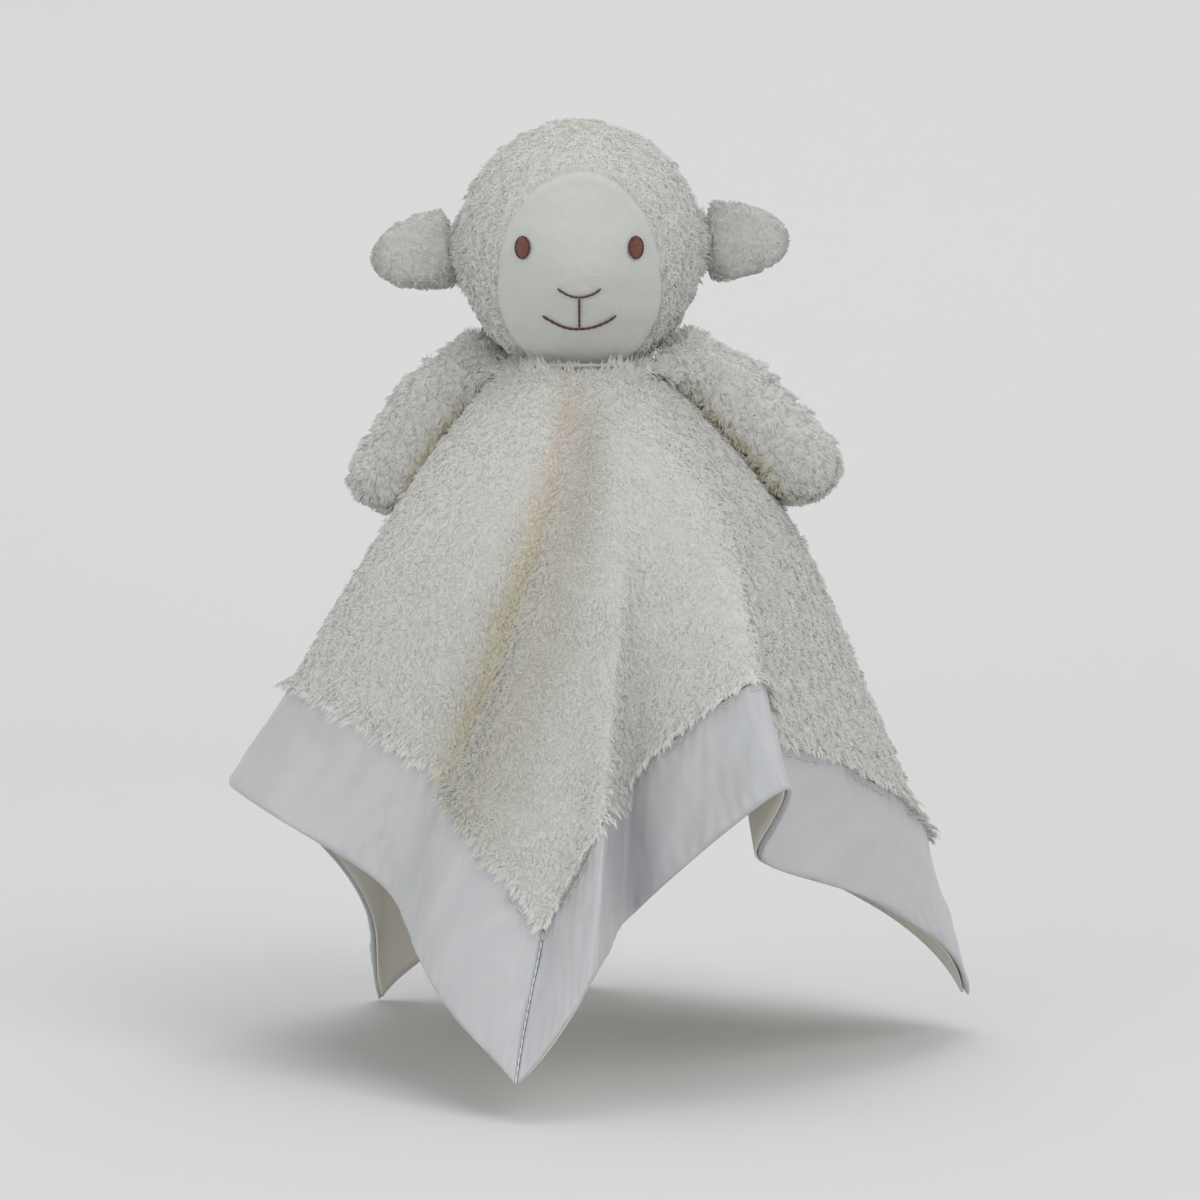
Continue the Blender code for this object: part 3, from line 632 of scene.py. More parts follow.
def velour_material(name):
    """Short, even pile."""
    soft = {"Sheen_Weight": 0.35, "Sheen_Roughness": 0.4, "Specular_IOR_Level": 0.15}
    made, tree, shader, spot = new_material(name, 0.9, **soft)
    nap = noise(spot, 1400.0, 3.0, 0.6)
    cloud = noise(spot, 90.0, 2.0)
    plug(tree, cloud.mix(*VELOUR_TONES), shader.inputs["Base Color"])
    plug(tree, 0.84 + 0.12 * nap, shader.inputs["Roughness"])
    set_relief(tree, shader, nap, 0.00025, 0.7)
    return made


plush = plush_material("plush")
shade_painted_plush = plush_material("tinted plush", shade_painted=True)
stuffing = plush_material("stuffing")
velour = velour_material("velour")
print("plush and velour:", len(bpy.data.materials), "materials")

# %% [markdown]
# ## Satin, lining and thread
#
# Satin is a cool white whose long floating threads catch the light, and the lining is a smooth,
# warm fabric. Both are woven, so their relief is two sets of stripes that cross. The stripes
# could follow the object's own space, but would then cut across the folds. They follow the flat
# cloth's UV map instead. Thread is twisted from plies, which show as slanted stripes, and the
# thread of the face is a dark reddish brown.

# %% Satin, lining and thread
SATIN_TONES = (0.462, 0.470, 0.485), (0.490, 0.498, 0.512)
LINING_TONES = (0.680, 0.645, 0.575), (0.730, 0.700, 0.630)
SEAM_THREAD_TONES = (0.470, 0.470, 0.450), (0.540, 0.540, 0.515)
SATIN_THREAD_TONES = (0.660, 0.670, 0.690), (0.720, 0.730, 0.750)
BROWN_TONES = (0.105, 0.030, 0.020), (0.270, 0.100, 0.060)
DARK_BROWN_TONES = (0.055, 0.016, 0.012), (0.105, 0.030, 0.020)
WEAVE_DEPTH, PLY_DEPTH = 0.00006, 0.0001
FINE_TWIST, COARSE_TWIST = 2600.0, 1500.0


def woven_material(name, tones, roughness, threads, **constants):
    """A fabric whose weave follows the flat cloth: fine threads one way, crossed by others."""
    made, tree, shader, spot = new_material(name, roughness, **constants)
    flat = Wire(tree, tree.nodes.new("ShaderNodeUVMap").outputs["UV"])
    warp = bands(flat, "DIAGONAL", threads, Distortion=0.4, Detail=1.0)
    weft = bands(flat, "X", threads * 0.6)
    cloud = noise(spot, 60.0, 3.0)
    plug(tree, cloud.mix(*tones), shader.inputs["Base Color"])
    plug(tree, roughness - 0.05 + 0.10 * cloud, shader.inputs["Roughness"])
    set_relief(tree, shader, 0.7 * warp + 0.3 * weft, WEAVE_DEPTH, 0.5)
    return made


def thread_material(name, tones, twist):
    """Sewing thread with slanted plies."""
    made, tree, shader, spot = new_material(name, 0.5, Sheen_Weight=0.2, Specular_IOR_Level=0.4)
    plies = bands(spot, "DIAGONAL", twist, Distortion=0.6)
    cloud = noise(spot, 700.0, 2.0)
    plug(tree, (0.5 * plies + 0.5 * cloud).mix(*tones), shader.inputs["Base Color"])
    plug(tree, 0.42 + 0.16 * cloud, shader.inputs["Roughness"])
    set_relief(tree, shader, plies, PLY_DEPTH, 0.6)
    return made


satin = woven_material("satin", SATIN_TONES, 0.30, 900.0, Sheen_Weight=0.15, Anisotropic=0.5)
lining_cloth = woven_material("lining", LINING_TONES, 0.62, 700.0, Sheen_Weight=0.2)
seam_thread = thread_material("seam thread", SEAM_THREAD_TONES, FINE_TWIST)
satin_thread = thread_material("satin thread", SATIN_THREAD_TONES, FINE_TWIST)
brown_thread = thread_material("brown thread", BROWN_TONES, COARSE_TWIST)
dark_thread = thread_material("dark brown thread", DARK_BROWN_TONES, COARSE_TWIST)
print("materials:", len(bpy.data.materials))

# %% [markdown]
# ## The blanket's backing and lining
#
# The plush top is a knitted backing with pile standing on it. One sheet with a Solidify modifier
# could give it its thickness. Here the backing is two skins of the map, joined round their edge,
# because the skins then keep their distance in the tightest fold, and the upper one can have the
# soft lumps that pile gives a cloth. The lining hangs just behind it, and goes out almost to the
# edge of the blanket, where the satin is turned over it.

# %% The backing, its painted shade and the lining
BACKING_TOP = 0.0011
BACKING_UNDER = 0.0024
LINING_TOP = 0.0027
LINING_UNDER = 0.0034
BACKING_LUMPS = 0.0002
HEM_GAP = 0.0003
LINING_TUCK = 0.0012            # how far the lining's edge is turned in under the satin


def square_layer(name, half, step, top, under, lumps=0.0):
    """A closed square layer of the draped cloth, between two depths."""
    count = int(round(2 * half / step)) + 1
    run = np.linspace(-half, half, count)
    places = np.stack(np.meshgrid(run, run, indexing="ij"), axis=-1).reshape(-1, 2)
    faces = grid_faces(count, count)
    waves = ((0.0045, 11), (0.011, 12), (0.028, 13))
    raised = lumps * sum(unevenness(places, size, seed) for size, seed in waves)
    skins = cloth(places, top - raised), cloth(places, under)
    points, faces = two_skins(*skins, faces, grid_rim(count, count))
    return make_mesh(name, points, faces, np.concatenate([places, places])), places, count


def painted_fold_shade(places):
    """Painted shade that multiplies the plush's colour: warm rose to sand down the big fold, and a
    darker shade beside it.
    """
    places_from_middle = from_middle(places[:, 0], places[:, 1])
    share = run_share(*places_from_middle)
    across = across_crease(*places_from_middle)
    wavering = 0.0012 * unevenness(places, 0.03, 14)
    line_width = 0.0042 + 0.004 * share
    line = np.exp(-(((across - wavering) / line_width) ** 2))
    line = line * hump(share, -0.02, 0.10, 0.66, 0.30)
    beside_middle, beside_width = 0.006 + 0.024 * share, 0.006 + 0.018 * share
    beside = np.exp(-(((across - beside_middle) / beside_width) ** 2))
    beside = beside * ease((share + 0.02) / 0.20)
    low = ease((share - 0.10) / 0.35)[:, None]
    deep = (1 - low) * np.array(PAINTED_SHADE_ROSE) + low * np.array(PAINTED_SHADE_SAND)
    painted_shade = 1 - beside[:, None] * (1 - np.array(FOLD_SHADE))
    return painted_shade * (1 - line[:, None] * (1 - deep))


def set_painted_shade(mesh, painted_shade):
    """Stores painted shade on a mesh, point by point, for its material to read."""
    values = np.concatenate([painted_shade, np.ones((len(painted_shade), 1))], axis=1).astype(np.float32)
    mesh.attributes.new("painted_shade", "FLOAT_COLOR", "POINT").data.foreach_set("color", values.ravel())


mesh, plush_places, plush_count = square_layer(
    "blanket_backing", INNER - HEM_GAP, FINE_STEP, BACKING_TOP, BACKING_UNDER, BACKING_LUMPS,
)
# painted shade of the big fold, on both skins of the backing
set_painted_shade(mesh, np.tile(painted_fold_shade(plush_places), (2, 1)))
backing = add_piece("blanket_backing", mesh, shade_painted_plush, "blanket")
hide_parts("blanket_plush")
print("backing:", len(mesh.polygons), "faces")

coarse_step = 0.0026
mesh = square_layer("lining", HALF - LINING_TUCK, coarse_step, LINING_TOP, LINING_UNDER)[0]
lining = add_piece("lining", mesh, lining_cloth, "blanket")
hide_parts("blanket_lining")
print("lining:", len(mesh.polygons), "faces")

# %% [markdown]
# ## The satin hem
#
# Four strips of satin run round the edge, one a side. Each is cut slanted at both ends, so two
# strips meet in a mitre at the corner. Satin is thin and slippery: it puffs up between its two
# seams, and puckers where the thread pulls it. The strips could be cut out of the backing's mesh,
# but its square grid would leave a jagged slant. Each is built flat instead, as rows across its
# width that all end on the mitre, and then looked up in the cloth map.

# %% Satin strips, flat
HEM_TOP, HEM_UNDER = 0.0003, 0.0023     # the depths of the satin's two skins where it is puffed up
HEM_DIP, HEM_LIFT = 0.0009, 0.0008      # how far they close at its edges
HEM_ROUNDING = 0.0022                   # how far in from its edge the satin rounds over
PUCKER_PITCH, PUCKER_REACH = 0.0068, 0.006
SIDES = {                       # the flat way out to each side, and the flat way along it
    "hem_front_left": ((1, 0), (0, 1)),
    "hem_back_left": ((0, 1), (-1, 0)),
    "hem_back_right": ((-1, 0), (0, -1)),
    "hem_front_right": ((0, -1), (1, 0)),
}
hem_rows, hem_columns = ((30, 280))


def strip_places(name, across, along):
    """Flat places of a strip: across is 0 at its inner edge and 1 at its outer, along is -1 to 1."""
    out, way = np.array(SIDES[name][0]), np.array(SIDES[name][1])
    reach = INNER + HEM_GAP + (HEM - HEM_GAP) * across
    side = along * (reach - HEM_GAP)
    return reach[..., None] * out + side[..., None] * way


def hem_swell(across, along):
    """How far the satin is puffed up: 0 at its edges and ends, 1 in the middle."""
    edge = np.minimum(across, 1 - across) * HEM
    end = (1 - np.abs(along)) * HALF
    rounded = np.clip(np.minimum(edge, end) / HEM_ROUNDING, 0, 1)
    return np.sqrt(np.clip(1 - (1 - rounded) ** 2, 0, 1))


def hem_relief(places, across, along, seed):
    """Puckers from both seams, and long soft ripples across the strip."""
    from_edge = np.minimum(across, 1 - across) * HEM
    wander = 3 * unevenness(places, 0.03, seed)
    pucker = np.sin(along * HALF * 2 * math.pi / PUCKER_PITCH + wander)
    pucker = pucker * np.exp(-from_edge / PUCKER_REACH)
    soft = unevenness(places, 0.020, seed + 1)
    fine = unevenness(places, 0.008, seed + 2)
    fine = fine * ease((across - 0.1) / 0.3) * ease((0.95 - across) / 0.3)
    return 0.00022 * pucker + 0.00055 * soft + 0.00022 * fine


print("a strip has", hem_rows, "rows of", hem_columns, "points")

# %% Satin strips, draped
# The rows lie closer together towards both seams, where the satin rounds over
share_across = np.sin(np.linspace(-0.5, 0.5, hem_rows) * math.pi * 0.86)
share_across = 0.5 + 0.5 * share_across / share_across[-1]
share_along = np.linspace(-1.0, 1.0, hem_columns)
strip_grid = np.meshgrid(share_across, share_along, indexing="ij")
grid_across, grid_along = [table.ravel() for table in strip_grid]
for number, name in enumerate(SIDES):
    places = strip_places(name, grid_across, grid_along)
    swell = hem_swell(grid_across, grid_along)
    relief = hem_relief(places, grid_across, grid_along, 20 + 5 * number) * swell
    upper = cloth(places, HEM_TOP + HEM_DIP * (1 - swell) - relief)
    under = cloth(places, HEM_UNDER - HEM_LIFT * (1 - swell))
    grid = grid_faces(hem_rows, hem_columns)
    points, faces = two_skins(upper, under, grid, grid_rim(hem_rows, hem_columns))
    mesh = make_mesh(name + "_satin", points, faces, np.concatenate([places, places]))
    piece = add_piece(name + "_satin", mesh, satin, "blanket")
    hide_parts(name)

# %% [markdown]
# ## Stitches
#
# Thread shows as a row along the hem's inner seam, and in the groove of each mitre, where it
# draws two strips together. A stitch is a short spindle: thick in its middle, and pulled into the
# cloth at both ends. A curve with a bevel would be as thick at its ends, and thousands of copies
# of one object would be slow. One function makes any number of stitches as a single mesh, from
# where each starts, where it ends and which way is up.


# %% Spindles of thread
def stitches(starts, ends, ups, thickness, rise=0.35, around=7, along=6):
    """Spindles from starts to ends, lifted in their middle by a share of their thickness."""
    share = np.linspace(0.0, 1.0, along)
    bulge = np.sin(np.pi * (0.08 + 0.84 * share)) ** 0.6    # thin at both ends, but not a point
    way = unit(ends - starts)
    side = unit(np.cross(way, ups))
    up = np.cross(side, way)
    turn = np.linspace(0, 2 * math.pi, around, endpoint=False)
    middle = starts[:, None] + (ends - starts)[:, None] * share[:, None]
    middle = middle + up[:, None] * (np.sin(np.pi * share) * thickness * rise)[:, None]
    ring = side[:, None, None] * np.cos(turn)[:, None]
    ring = ring + up[:, None, None] * np.sin(turn)[:, None]
    points = middle[:, :, None] + ring * (bulge * thickness / 2)[:, None, None]
    caps = np.stack([np.arange(around)[::-1], np.arange(around) + (along - 1) * around])
    start = (np.arange(len(starts)) * along * around)[:, None, None]
    faces = grid_faces(along, around, closed=True)
    faces = [(table[None] + start).reshape(-1, table.shape[1]) for table in (faces, caps)]
    return points.reshape(-1, 3), faces


from_here, to_there, upwards = np.zeros((1, 3)), np.array([[0.003, 0.0, 0.0]]), np.eye(3)[2:]
stitch_points = len(stitches(from_here, to_there, upwards, 0.0004)[0])
print("one stitch has", stitch_points, "points")

# %% Stitches of the hem and its mitres
HEM_STITCH, HEM_STITCH_PITCH = 0.0026, 0.0036
HEM_STITCH_AT = 0.075           # share of the hem's width that lies inside the row of stitches
HEM_STITCH_DEPTH, HEM_THREAD = 0.00025, 0.0004
MITRE_STITCH_PITCH = 0.0030
MITRE_DEPTH = 0.0009            # the thread of a mitre lies in the groove where two strips meet
MITRE_THREAD = 0.0007
MITRE_START, MITRE_END = INNER + 0.0006, HALF - 0.0004


def hem_row():
    """Where the stitches of all four sides start and end, and which way is up there."""
    reach = INNER + HEM * HEM_STITCH_AT
    count = int(2 * reach / HEM_STITCH_PITCH)
    across = np.full(count, HEM_STITCH_AT)
    middle = (np.arange(count) + 0.5) / count * 2 - 1
    half = HEM_STITCH / 2 / reach
    marks = [
        [strip_places(name, across, np.clip(middle + shift, -1, 1)) for name in SIDES]
        for shift in (-half, half, 0.0)
    ]
    starts, ends, middles = [np.concatenate(places) for places in marks]
    depth = HEM_STITCH_DEPTH
    return cloth(starts, depth), cloth(ends, depth), look_up(layer_normals, middles)


def mitre_rows():
    """The same for the thread in the groove of each mitre."""
    count = int(HEM * math.sqrt(2) / MITRE_STITCH_PITCH)
    run = np.linspace(MITRE_START, MITRE_END, count + 1)[:, None]
    rows = [run * np.array(corner) for corner in ((1, 1), (1, -1), (-1, 1), (-1, -1))]
    first = np.concatenate([row[:-1] for row in rows])
    second = np.concatenate([row[1:] for row in rows])
    return cloth(first, MITRE_DEPTH), cloth(second, MITRE_DEPTH), look_up(layer_normals, first)


points, faces = stitches(*hem_row(), HEM_THREAD)
more_points, more_faces = stitches(*mitre_rows(), MITRE_THREAD)
faces = faces + [table + len(points) for table in more_faces]
mesh = make_mesh("hem_stitches", np.concatenate([points, more_points]), faces)
hem_stitches = add_piece("hem_stitches", mesh, satin_thread, "blanket")
print("stitches of hem and mitres:", len(mesh.vertices) // stitch_points)

# %% [markdown]
# ## The head's form
#
# The head is a round form, narrower at the jaw, cut flat at the neck. Its smooth face is an oval
# panel with a soft raised bridge from the forehead to the nose. Sculpting would give such a form
# by eye. Here it is arithmetic on a sphere, because face, cap, eyes, mouth and pile all have to lie
# on the same form, and can each ask it for their places.

# %% The round head, and the bridge of the face
HEAD_WIDTH, HEAD_DEPTH, HEAD_HEIGHT = 0.080, 0.074, 0.0794
GAP = 0.0003
HEAD_FLAT_SHARE = math.sqrt(1 - (NECK_RADIUS / (HEAD_WIDTH / 2)) ** 2)
HEAD_HALF_HEIGHT = (HEAD_HEIGHT - GAP) / (1 + HEAD_FLAT_SHARE)
HEAD_CENTRE = HEAD_HEIGHT - HEAD_HALF_HEIGHT
FACE_WIDTH, FACE_TOP = 0.053, 0.0615
FACE_BOTTOM = -0.05 * FACE_TOP
FACE_WIDEST = FACE_BOTTOM + 0.44 * (FACE_TOP - FACE_BOTTOM)
FACE_INSET, FACE_THICKNESS = 0.0012, 0.0014
JAW_NARROWING = 0.13
BRIDGE_RISE, BRIDGE_WIDTH = 0.0030, 0.0130
BRIDGE_MIDDLE, BRIDGE_HEIGHT = 0.0270, 0.0160


def jaw(height):
    """The head's width at a height of the unit sphere, as a share of the sphere's."""
    return 1 - JAW_NARROWING * np.maximum(0.0, -height) ** 1.5


def muzzle(x, z):
    """How far the bridge of the face stands forward of the round head."""
    return BRIDGE_RISE * np.exp(-((x / BRIDGE_WIDTH) ** 2) - ((z - BRIDGE_MIDDLE) / BRIDGE_HEIGHT) ** 2)


def head_point(ways, inset):
    """Points of the unit sphere moved onto the head, a depth inside its plush."""
    inset = np.broadcast_to(inset, ways.shape[:-1])
    narrow = jaw(ways[..., 2])
    x = ways[..., 0] * narrow * (HEAD_WIDTH / 2 - inset)
    y = ways[..., 1] * narrow * (HEAD_DEPTH / 2 - inset)
    z = HEAD_CENTRE + ways[..., 2] * (HEAD_HALF_HEIGHT - inset)
    y = y + np.minimum(ways[..., 1], 0.0) * muzzle(x, z)
    return np.stack([x, y, np.maximum(z, GAP + inset * 0.3)], axis=-1)


print("the crown is at, mm:", np.round(head_point(np.array([0.0, 0.0, 1.0]), 0.0) / MM, 1))


# %% Places on the face
def face_point(x, z, lift=0.0):
    """The face's front at widths and heights, raised by lift, and the way that it looks."""
    def front(x, z):
        height = (z - HEAD_CENTRE) / (HEAD_HALF_HEIGHT - FACE_INSET)
        narrow = jaw(height)
        side = x / (narrow * (HEAD_WIDTH / 2 - FACE_INSET))
        forward = -np.sqrt(np.maximum(0.0, 1 - height * height - side * side))
        y = forward * narrow * (HEAD_DEPTH / 2 - FACE_INSET) + forward * muzzle(x, z)
        return np.stack([x, y, z], axis=-1)

    small = 0.00008
    right = front(x + small, z) - front(x - small, z)
    up = front(x, z + small) - front(x, z - small)
    outward = unit(np.cross(right, up))
    return front(x, z) + outward * np.broadcast_to(lift, x.shape)[..., None], outward


def egg(turns, grow=0.0):
    """The face's outline: widths and heights, by the angle round it."""
    wide, up = np.cos(turns), np.sin(turns)
    reach = np.where(up > 0, FACE_TOP - FACE_WIDEST, FACE_WIDEST - FACE_BOTTOM) + grow
    return wide * (FACE_WIDTH / 2 + grow), FACE_WIDEST + up * reach


def tidy_normals(mesh):
    """Turns a closed mesh's faces outwards."""
    build = bmesh.new()
    build.from_mesh(mesh)
    bmesh.ops.recalc_face_normals(build, faces=build.faces)
    build.to_mesh(mesh)
    build.free()


print("the face's height, mm:", round((FACE_TOP - FACE_BOTTOM) / MM, 1))

# %% [markdown]
# ## Face and cap
#
# On the real toy a velour panel is let into the plush, and their seam draws both in. One mesh
# with two materials would show no seam. So the face is a panel of rings that runs from its middle
# out to the seam, and the plush cap is a grid that starts at the same seam and closes in at the
# back of the head.

# %% The face panel
face_rings, face_around = ((60, 220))


def face_grid(depth, soft):
    """The panel from its middle to its seam, tucked in at the seam, with a faint unevenness."""
    share = np.sin(np.linspace(0.02, 1.0, face_rings) * math.pi / 2)[:, None]
    wide, tall = egg(np.linspace(0, 2 * math.pi, face_around, endpoint=False))
    x = share * wide
    z = FACE_WIDEST + share * (tall - FACE_WIDEST)
    z = np.maximum(z, GAP * 2)
    flat = np.stack([x, z], axis=-1)
    from_seam = (1 - share) * 0.028 * np.ones_like(x)
    tuck = -0.0007 * np.exp(-((from_seam / 0.0010) ** 2))
    welt = 0.0005 * np.exp(-(((from_seam - 0.0026) / 0.0013) ** 2))
    lumps = soft * (0.00022 * unevenness(flat, 0.013, 31) + 0.00008 * unevenness(flat, 0.004, 32))
    return face_point(x, z, soft * (tuck + welt) + lumps - depth)[0].reshape(-1, 3)


def face_mesh():
    """The panel as one closed layer."""
    upper, under = face_grid(0.0, 1.0), face_grid(FACE_THICKNESS, 0.0)
    faces = grid_faces(face_rings, face_around, closed=True)
    count = len(upper)
    rim = np.arange((face_rings - 1) * face_around, face_rings * face_around)
    points, tables = two_skins(upper, under, faces, rim)
    inner = np.arange(face_around)
    tables.append(np.stack([inner[::-1], inner + count]))
    return make_mesh("face", points, tables)


mesh = face_mesh()
tidy_normals(mesh)
face = add_piece("face", mesh, velour, "head")
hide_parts("face_panel")
print("face:", len(mesh.polygons), "faces")

# %% The plush cap
cap_rows, cap_around = ((150, 300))
CAP_BACKING, CAP_UNDER = 0.0018, 0.0030     # how far in from the pile's tips the cap's two skins lie


def cap_ways():
    """Directions on the unit sphere: from the face's seam round to the back of the head."""
    turns = np.linspace(0, 2 * math.pi, cap_around, endpoint=False)
    wide, tall = egg(turns, 0.0004)
    place = face_point(wide, np.maximum(tall, GAP), 0.0)[0]
    height = (place[:, 2] - HEAD_CENTRE) / HEAD_HALF_HEIGHT
    side = place[:, 0] / (jaw(height) * HEAD_WIDTH / 2)
    forward = -np.sqrt(np.maximum(0.02, 1 - height**2 - side**2))
    start = unit(np.stack([side, forward, height], axis=-1))
    back = np.array([0.0, 1.0, 0.0])
    angle = np.arccos(np.clip(start @ back, -1, 1))[:, None]
    step = (np.linspace(0, 0.995, cap_rows) ** 0.9)[:, None, None]
    return (np.sin((1 - step) * angle) * start + np.sin(step * angle) * back) / np.sin(angle)


ways = cap_ways()
from_seam = np.linalg.norm(head_point(ways, 0.0) - head_point(ways[:1], 0.0), axis=-1)
lumps = 0.0002 * unevenness(ways, 0.12, 41) + 0.0002 * unevenness(ways, 0.3, 42)
seam_tuck = 0.0009 * np.exp(-((from_seam / 0.0016) ** 2))
upper = head_point(ways, CAP_BACKING - lumps + seam_tuck).reshape(-1, 3)
under = head_point(ways, CAP_UNDER).reshape(-1, 3)
faces = grid_faces(cap_rows, cap_around, closed=True)
seam = np.arange(cap_around)
points, tables = two_skins(upper, under, faces, seam[::-1])
last = np.arange((cap_rows - 1) * cap_around, cap_rows * cap_around)
tables.append(np.stack([last, (last + len(upper))[::-1]]))
mesh = make_mesh("head_cap", points, tables)
cap = add_piece("head_cap", mesh, plush, "head")
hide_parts("head_cover")
cap_surface = (upper, faces)
print("cap:", len(mesh.polygons), "faces")

# %% [markdown]
# ## Ears
#
# An ear is two leaf-shaped layers, sewn together and turned, the front smooth and the back plush,
# with a narrow root. Cloth simulation could puff it up from two flat cuts. The leaf is small and
# simple, so a half sphere that is flattened, stretched to the ear's length and given a little
# unevenness comes to the same form, and is placed exactly.

# %% The form of an ear
EAR_LENGTH, EAR_HEIGHT, EAR_ROOT = 0.0245, 0.025, 0.0022
ear_around, ear_up = ((96, 56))


def ear_place(side, level):
    """The middle of an ear's root, just off the widest part of the head beside it."""
    share = (level + EAR_HEIGHT * (np.arange(11) / 10 - 0.5) - HEAD_CENTRE) / HEAD_HALF_HEIGHT
    widest = (np.sqrt(np.maximum(0.0, 1 - share**2)) * jaw(share) * HEAD_WIDTH / 2).max()
    return np.array([side * (widest + EAR_ROOT + GAP), 0.0, level])


def ear_leaf(side, level, droop, rise, behind, seed, inset):
    """One layer of an ear, as a grid from its back to its rim."""
    rings = np.sin(np.linspace(0.015, 1.0, ear_up) * math.pi / 2)
    turns = np.linspace(0, 2 * math.pi, ear_around, endpoint=False)
    along = rings[:, None] * np.cos(turns)
    tall = rings[:, None] * np.sin(turns)
    dome = np.sqrt(np.maximum(0.0, 1 - rings**2))[:, None] * np.ones_like(along)
    swell = ease(np.maximum(along, 0.0) / 0.45)
    thick = EAR_ROOT + (rise - EAR_ROOT) * swell
    flat = np.stack([along * 0.03, tall * EAR_HEIGHT / 2], axis=-1)
    lumps = 0.0004 * unevenness(flat, 0.012, seed) + 0.0001 * unevenness(flat, 0.004, seed + 1)
    lift = dome * np.maximum(thick - inset, 0.0004) + dome * lumps
    shrink = 1 - inset / EAR_HEIGHT
    x = side * along * np.where(along > 0, EAR_LENGTH, EAR_ROOT) * shrink
    y = (lift + GAP / 2) * (1 if behind else -1)
    z = tall * EAR_HEIGHT / 2 * shrink
    turn = math.radians(side * droop)
    cos, sin = math.cos(turn), math.sin(turn)
    points = np.stack([x * cos + z * sin, y, -x * sin + z * cos], axis=-1)
    return points + ear_place(side, level)


print("an ear's root is off the head by, mm:", round(float(EAR_ROOT + GAP) / MM, 1))


# %% Two layers for each ear
def ear_mesh(name, side, level, droop, rise, behind, seed, inset):
    """One layer, closed with a flat side towards the other, and the surface that its pile grows on."""
    domed = ear_leaf(side, level, droop, rise, behind, seed, inset).reshape(-1, 3)
    flat = domed.copy()
    flat[:, 1] = GAP / 2 * (1 if behind else -1)
    faces = grid_faces(ear_up, ear_around, closed=True)
    if (side > 0) != behind:
        faces = faces[:, ::-1]
    rim = np.arange((ear_up - 1) * ear_around, ear_up * ear_around)
    points, tables = two_skins(domed, flat, faces, rim)
    inner = np.arange(ear_around)
    tables.append(np.stack([inner, (inner + len(domed))[::-1]]))
    mesh = make_mesh(name, points, tables)
    tidy_normals(mesh)
    return mesh, (domed, faces)


# The side that it is on, its root's height above the neck, and how far it droops
EARS = {"ear_left": (1, 0.0410, 0.0), "ear_right": (-1, 0.0385, 10.0)}
# A layer's fullness, whether it is behind, its finish and slot, and how far in from its pile it is
EAR_LAYERS = {
    "front": (0.0034, False, velour, "velour", 0.0006),
    "back": (0.0046, True, plush, "plush", 0.0014),
}
ear_surfaces = {}
for number, (name, (side, level, droop)) in enumerate(EARS.items()):
    for part, (rise, behind, finish, slot, inset) in EAR_LAYERS.items():
        seed = 50 + 10 * number + 5 * behind
        piece_name = f"{name}_{part}_cloth"
        mesh, surface = ear_mesh(piece_name, side, level, droop, rise, behind, seed, inset)
        piece = add_piece(piece_name, mesh, finish, name)
        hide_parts(f"{name}_{part}")
        ear_surfaces[name, part] = surface

# %% [markdown]
# ## Arms
#
# An arm is a stuffed tube of plush that swells to a round hand, and bends down in one upright
# plane. It is sewn in under the head, where it is pressed flat and wide, and it lies softly on
# the fold beside it. A tube round a curve could be bent with a Curve modifier. Rings set square
# to a line of slopes do the same, and each ring can be widened, raised or pressed on its own.

# %% An arm's line and its thickness
ARM_LENGTH, ARM_THICKNESS, ARM_ROOT = 0.070, 0.0240, 0.0038
ARM_BACKING = 0.0016            # how far in from its pile's tips the sleeve lies
ARM_OUT = 0.0090                # how far outside the neck the arm's root is
ARM_BEND = 0.45                 # share of the arm over which its slope changes
ARM_SWELL = 0.42                # and over which it grows to its full thickness
ROOT_DROP = 0.45                # how steeply the root goes down under the head
ROOT_THINNING = 0.45            # how much thinner it is pressed there
SHOULDER_REACH = 0.0070         # and how far it runs in there
# The way that each arm points, and its slopes at the root and the hand
ARMS = {"arm_left": (91.0, 9.0, -51.0), "arm_right": (-110.0, 1.0, -57.0)}
arm_rows, arm_around = ((130, 90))


def arm_line(direction, first_slope, last_slope, distances):
    """The arm's middle line and the way it runs, at distances from its root."""
    steps = 400
    share = (np.arange(steps) + 0.5) / steps
    slope = np.radians(first_slope + (last_slope - first_slope) * ease(share / ARM_BEND))
    out = NECK_RADIUS + ARM_OUT + np.concatenate([[0], np.cumsum(np.cos(slope))]) * ARM_LENGTH / steps
    up = ARM_ROOT + np.concatenate([[0], np.cumsum(np.sin(slope))]) * ARM_LENGTH / steps
    run = np.linspace(0, ARM_LENGTH, steps + 1)
    out, up = np.interp(distances, run, out), np.interp(distances, run, up)
    under_head = np.minimum(distances, 0.0)
    out, up = out + under_head, up + ROOT_DROP * under_head
    cos, sin = math.cos(math.radians(direction)), math.sin(math.radians(direction))
    places = np.stack([out * sin, -out * cos, up], axis=-1)
    tilt = np.interp(distances, run[1:], slope)
    way = np.stack([np.cos(tilt) * sin, -np.cos(tilt) * cos, np.sin(tilt)], axis=-1)
    return places, way


def arm_radius(distances, inset):
    """The arm's radius at distances from its root, a depth inside its plush."""
    swell = ease(distances / (ARM_SWELL * ARM_LENGTH))
    radius = ARM_ROOT + (ARM_THICKNESS / 2 - ARM_ROOT) * swell - inset
    hand = ARM_LENGTH - ARM_THICKNESS / 2
    past = np.clip((distances - hand) / (ARM_LENGTH - inset - hand), 0, 1)
    return np.maximum(radius * np.sqrt(1 - past**2), 1e-5)


print("rings along an arm:", arm_rows)

# %% The fuller shoulder, and the rings of an arm
FRONT_SPREAD, BACK_SPREAD = 0.0150, 0.0060      # how far the flat root spreads forwards and back
TOP_LINE = np.array([           # distance along the arm, and how much its top is raised there, in mm
    (-7.0, 0.0), (0.0, 2.0), (3.0, 4.2), (6.0, 5.4), (9.0, 4.4), (13.0, 1.2),
    (19.0, -2.2), (26.0, -3.4), (34.0, -2.8), (45.0, -1.0), (56.0, 0.0),
]) * MM


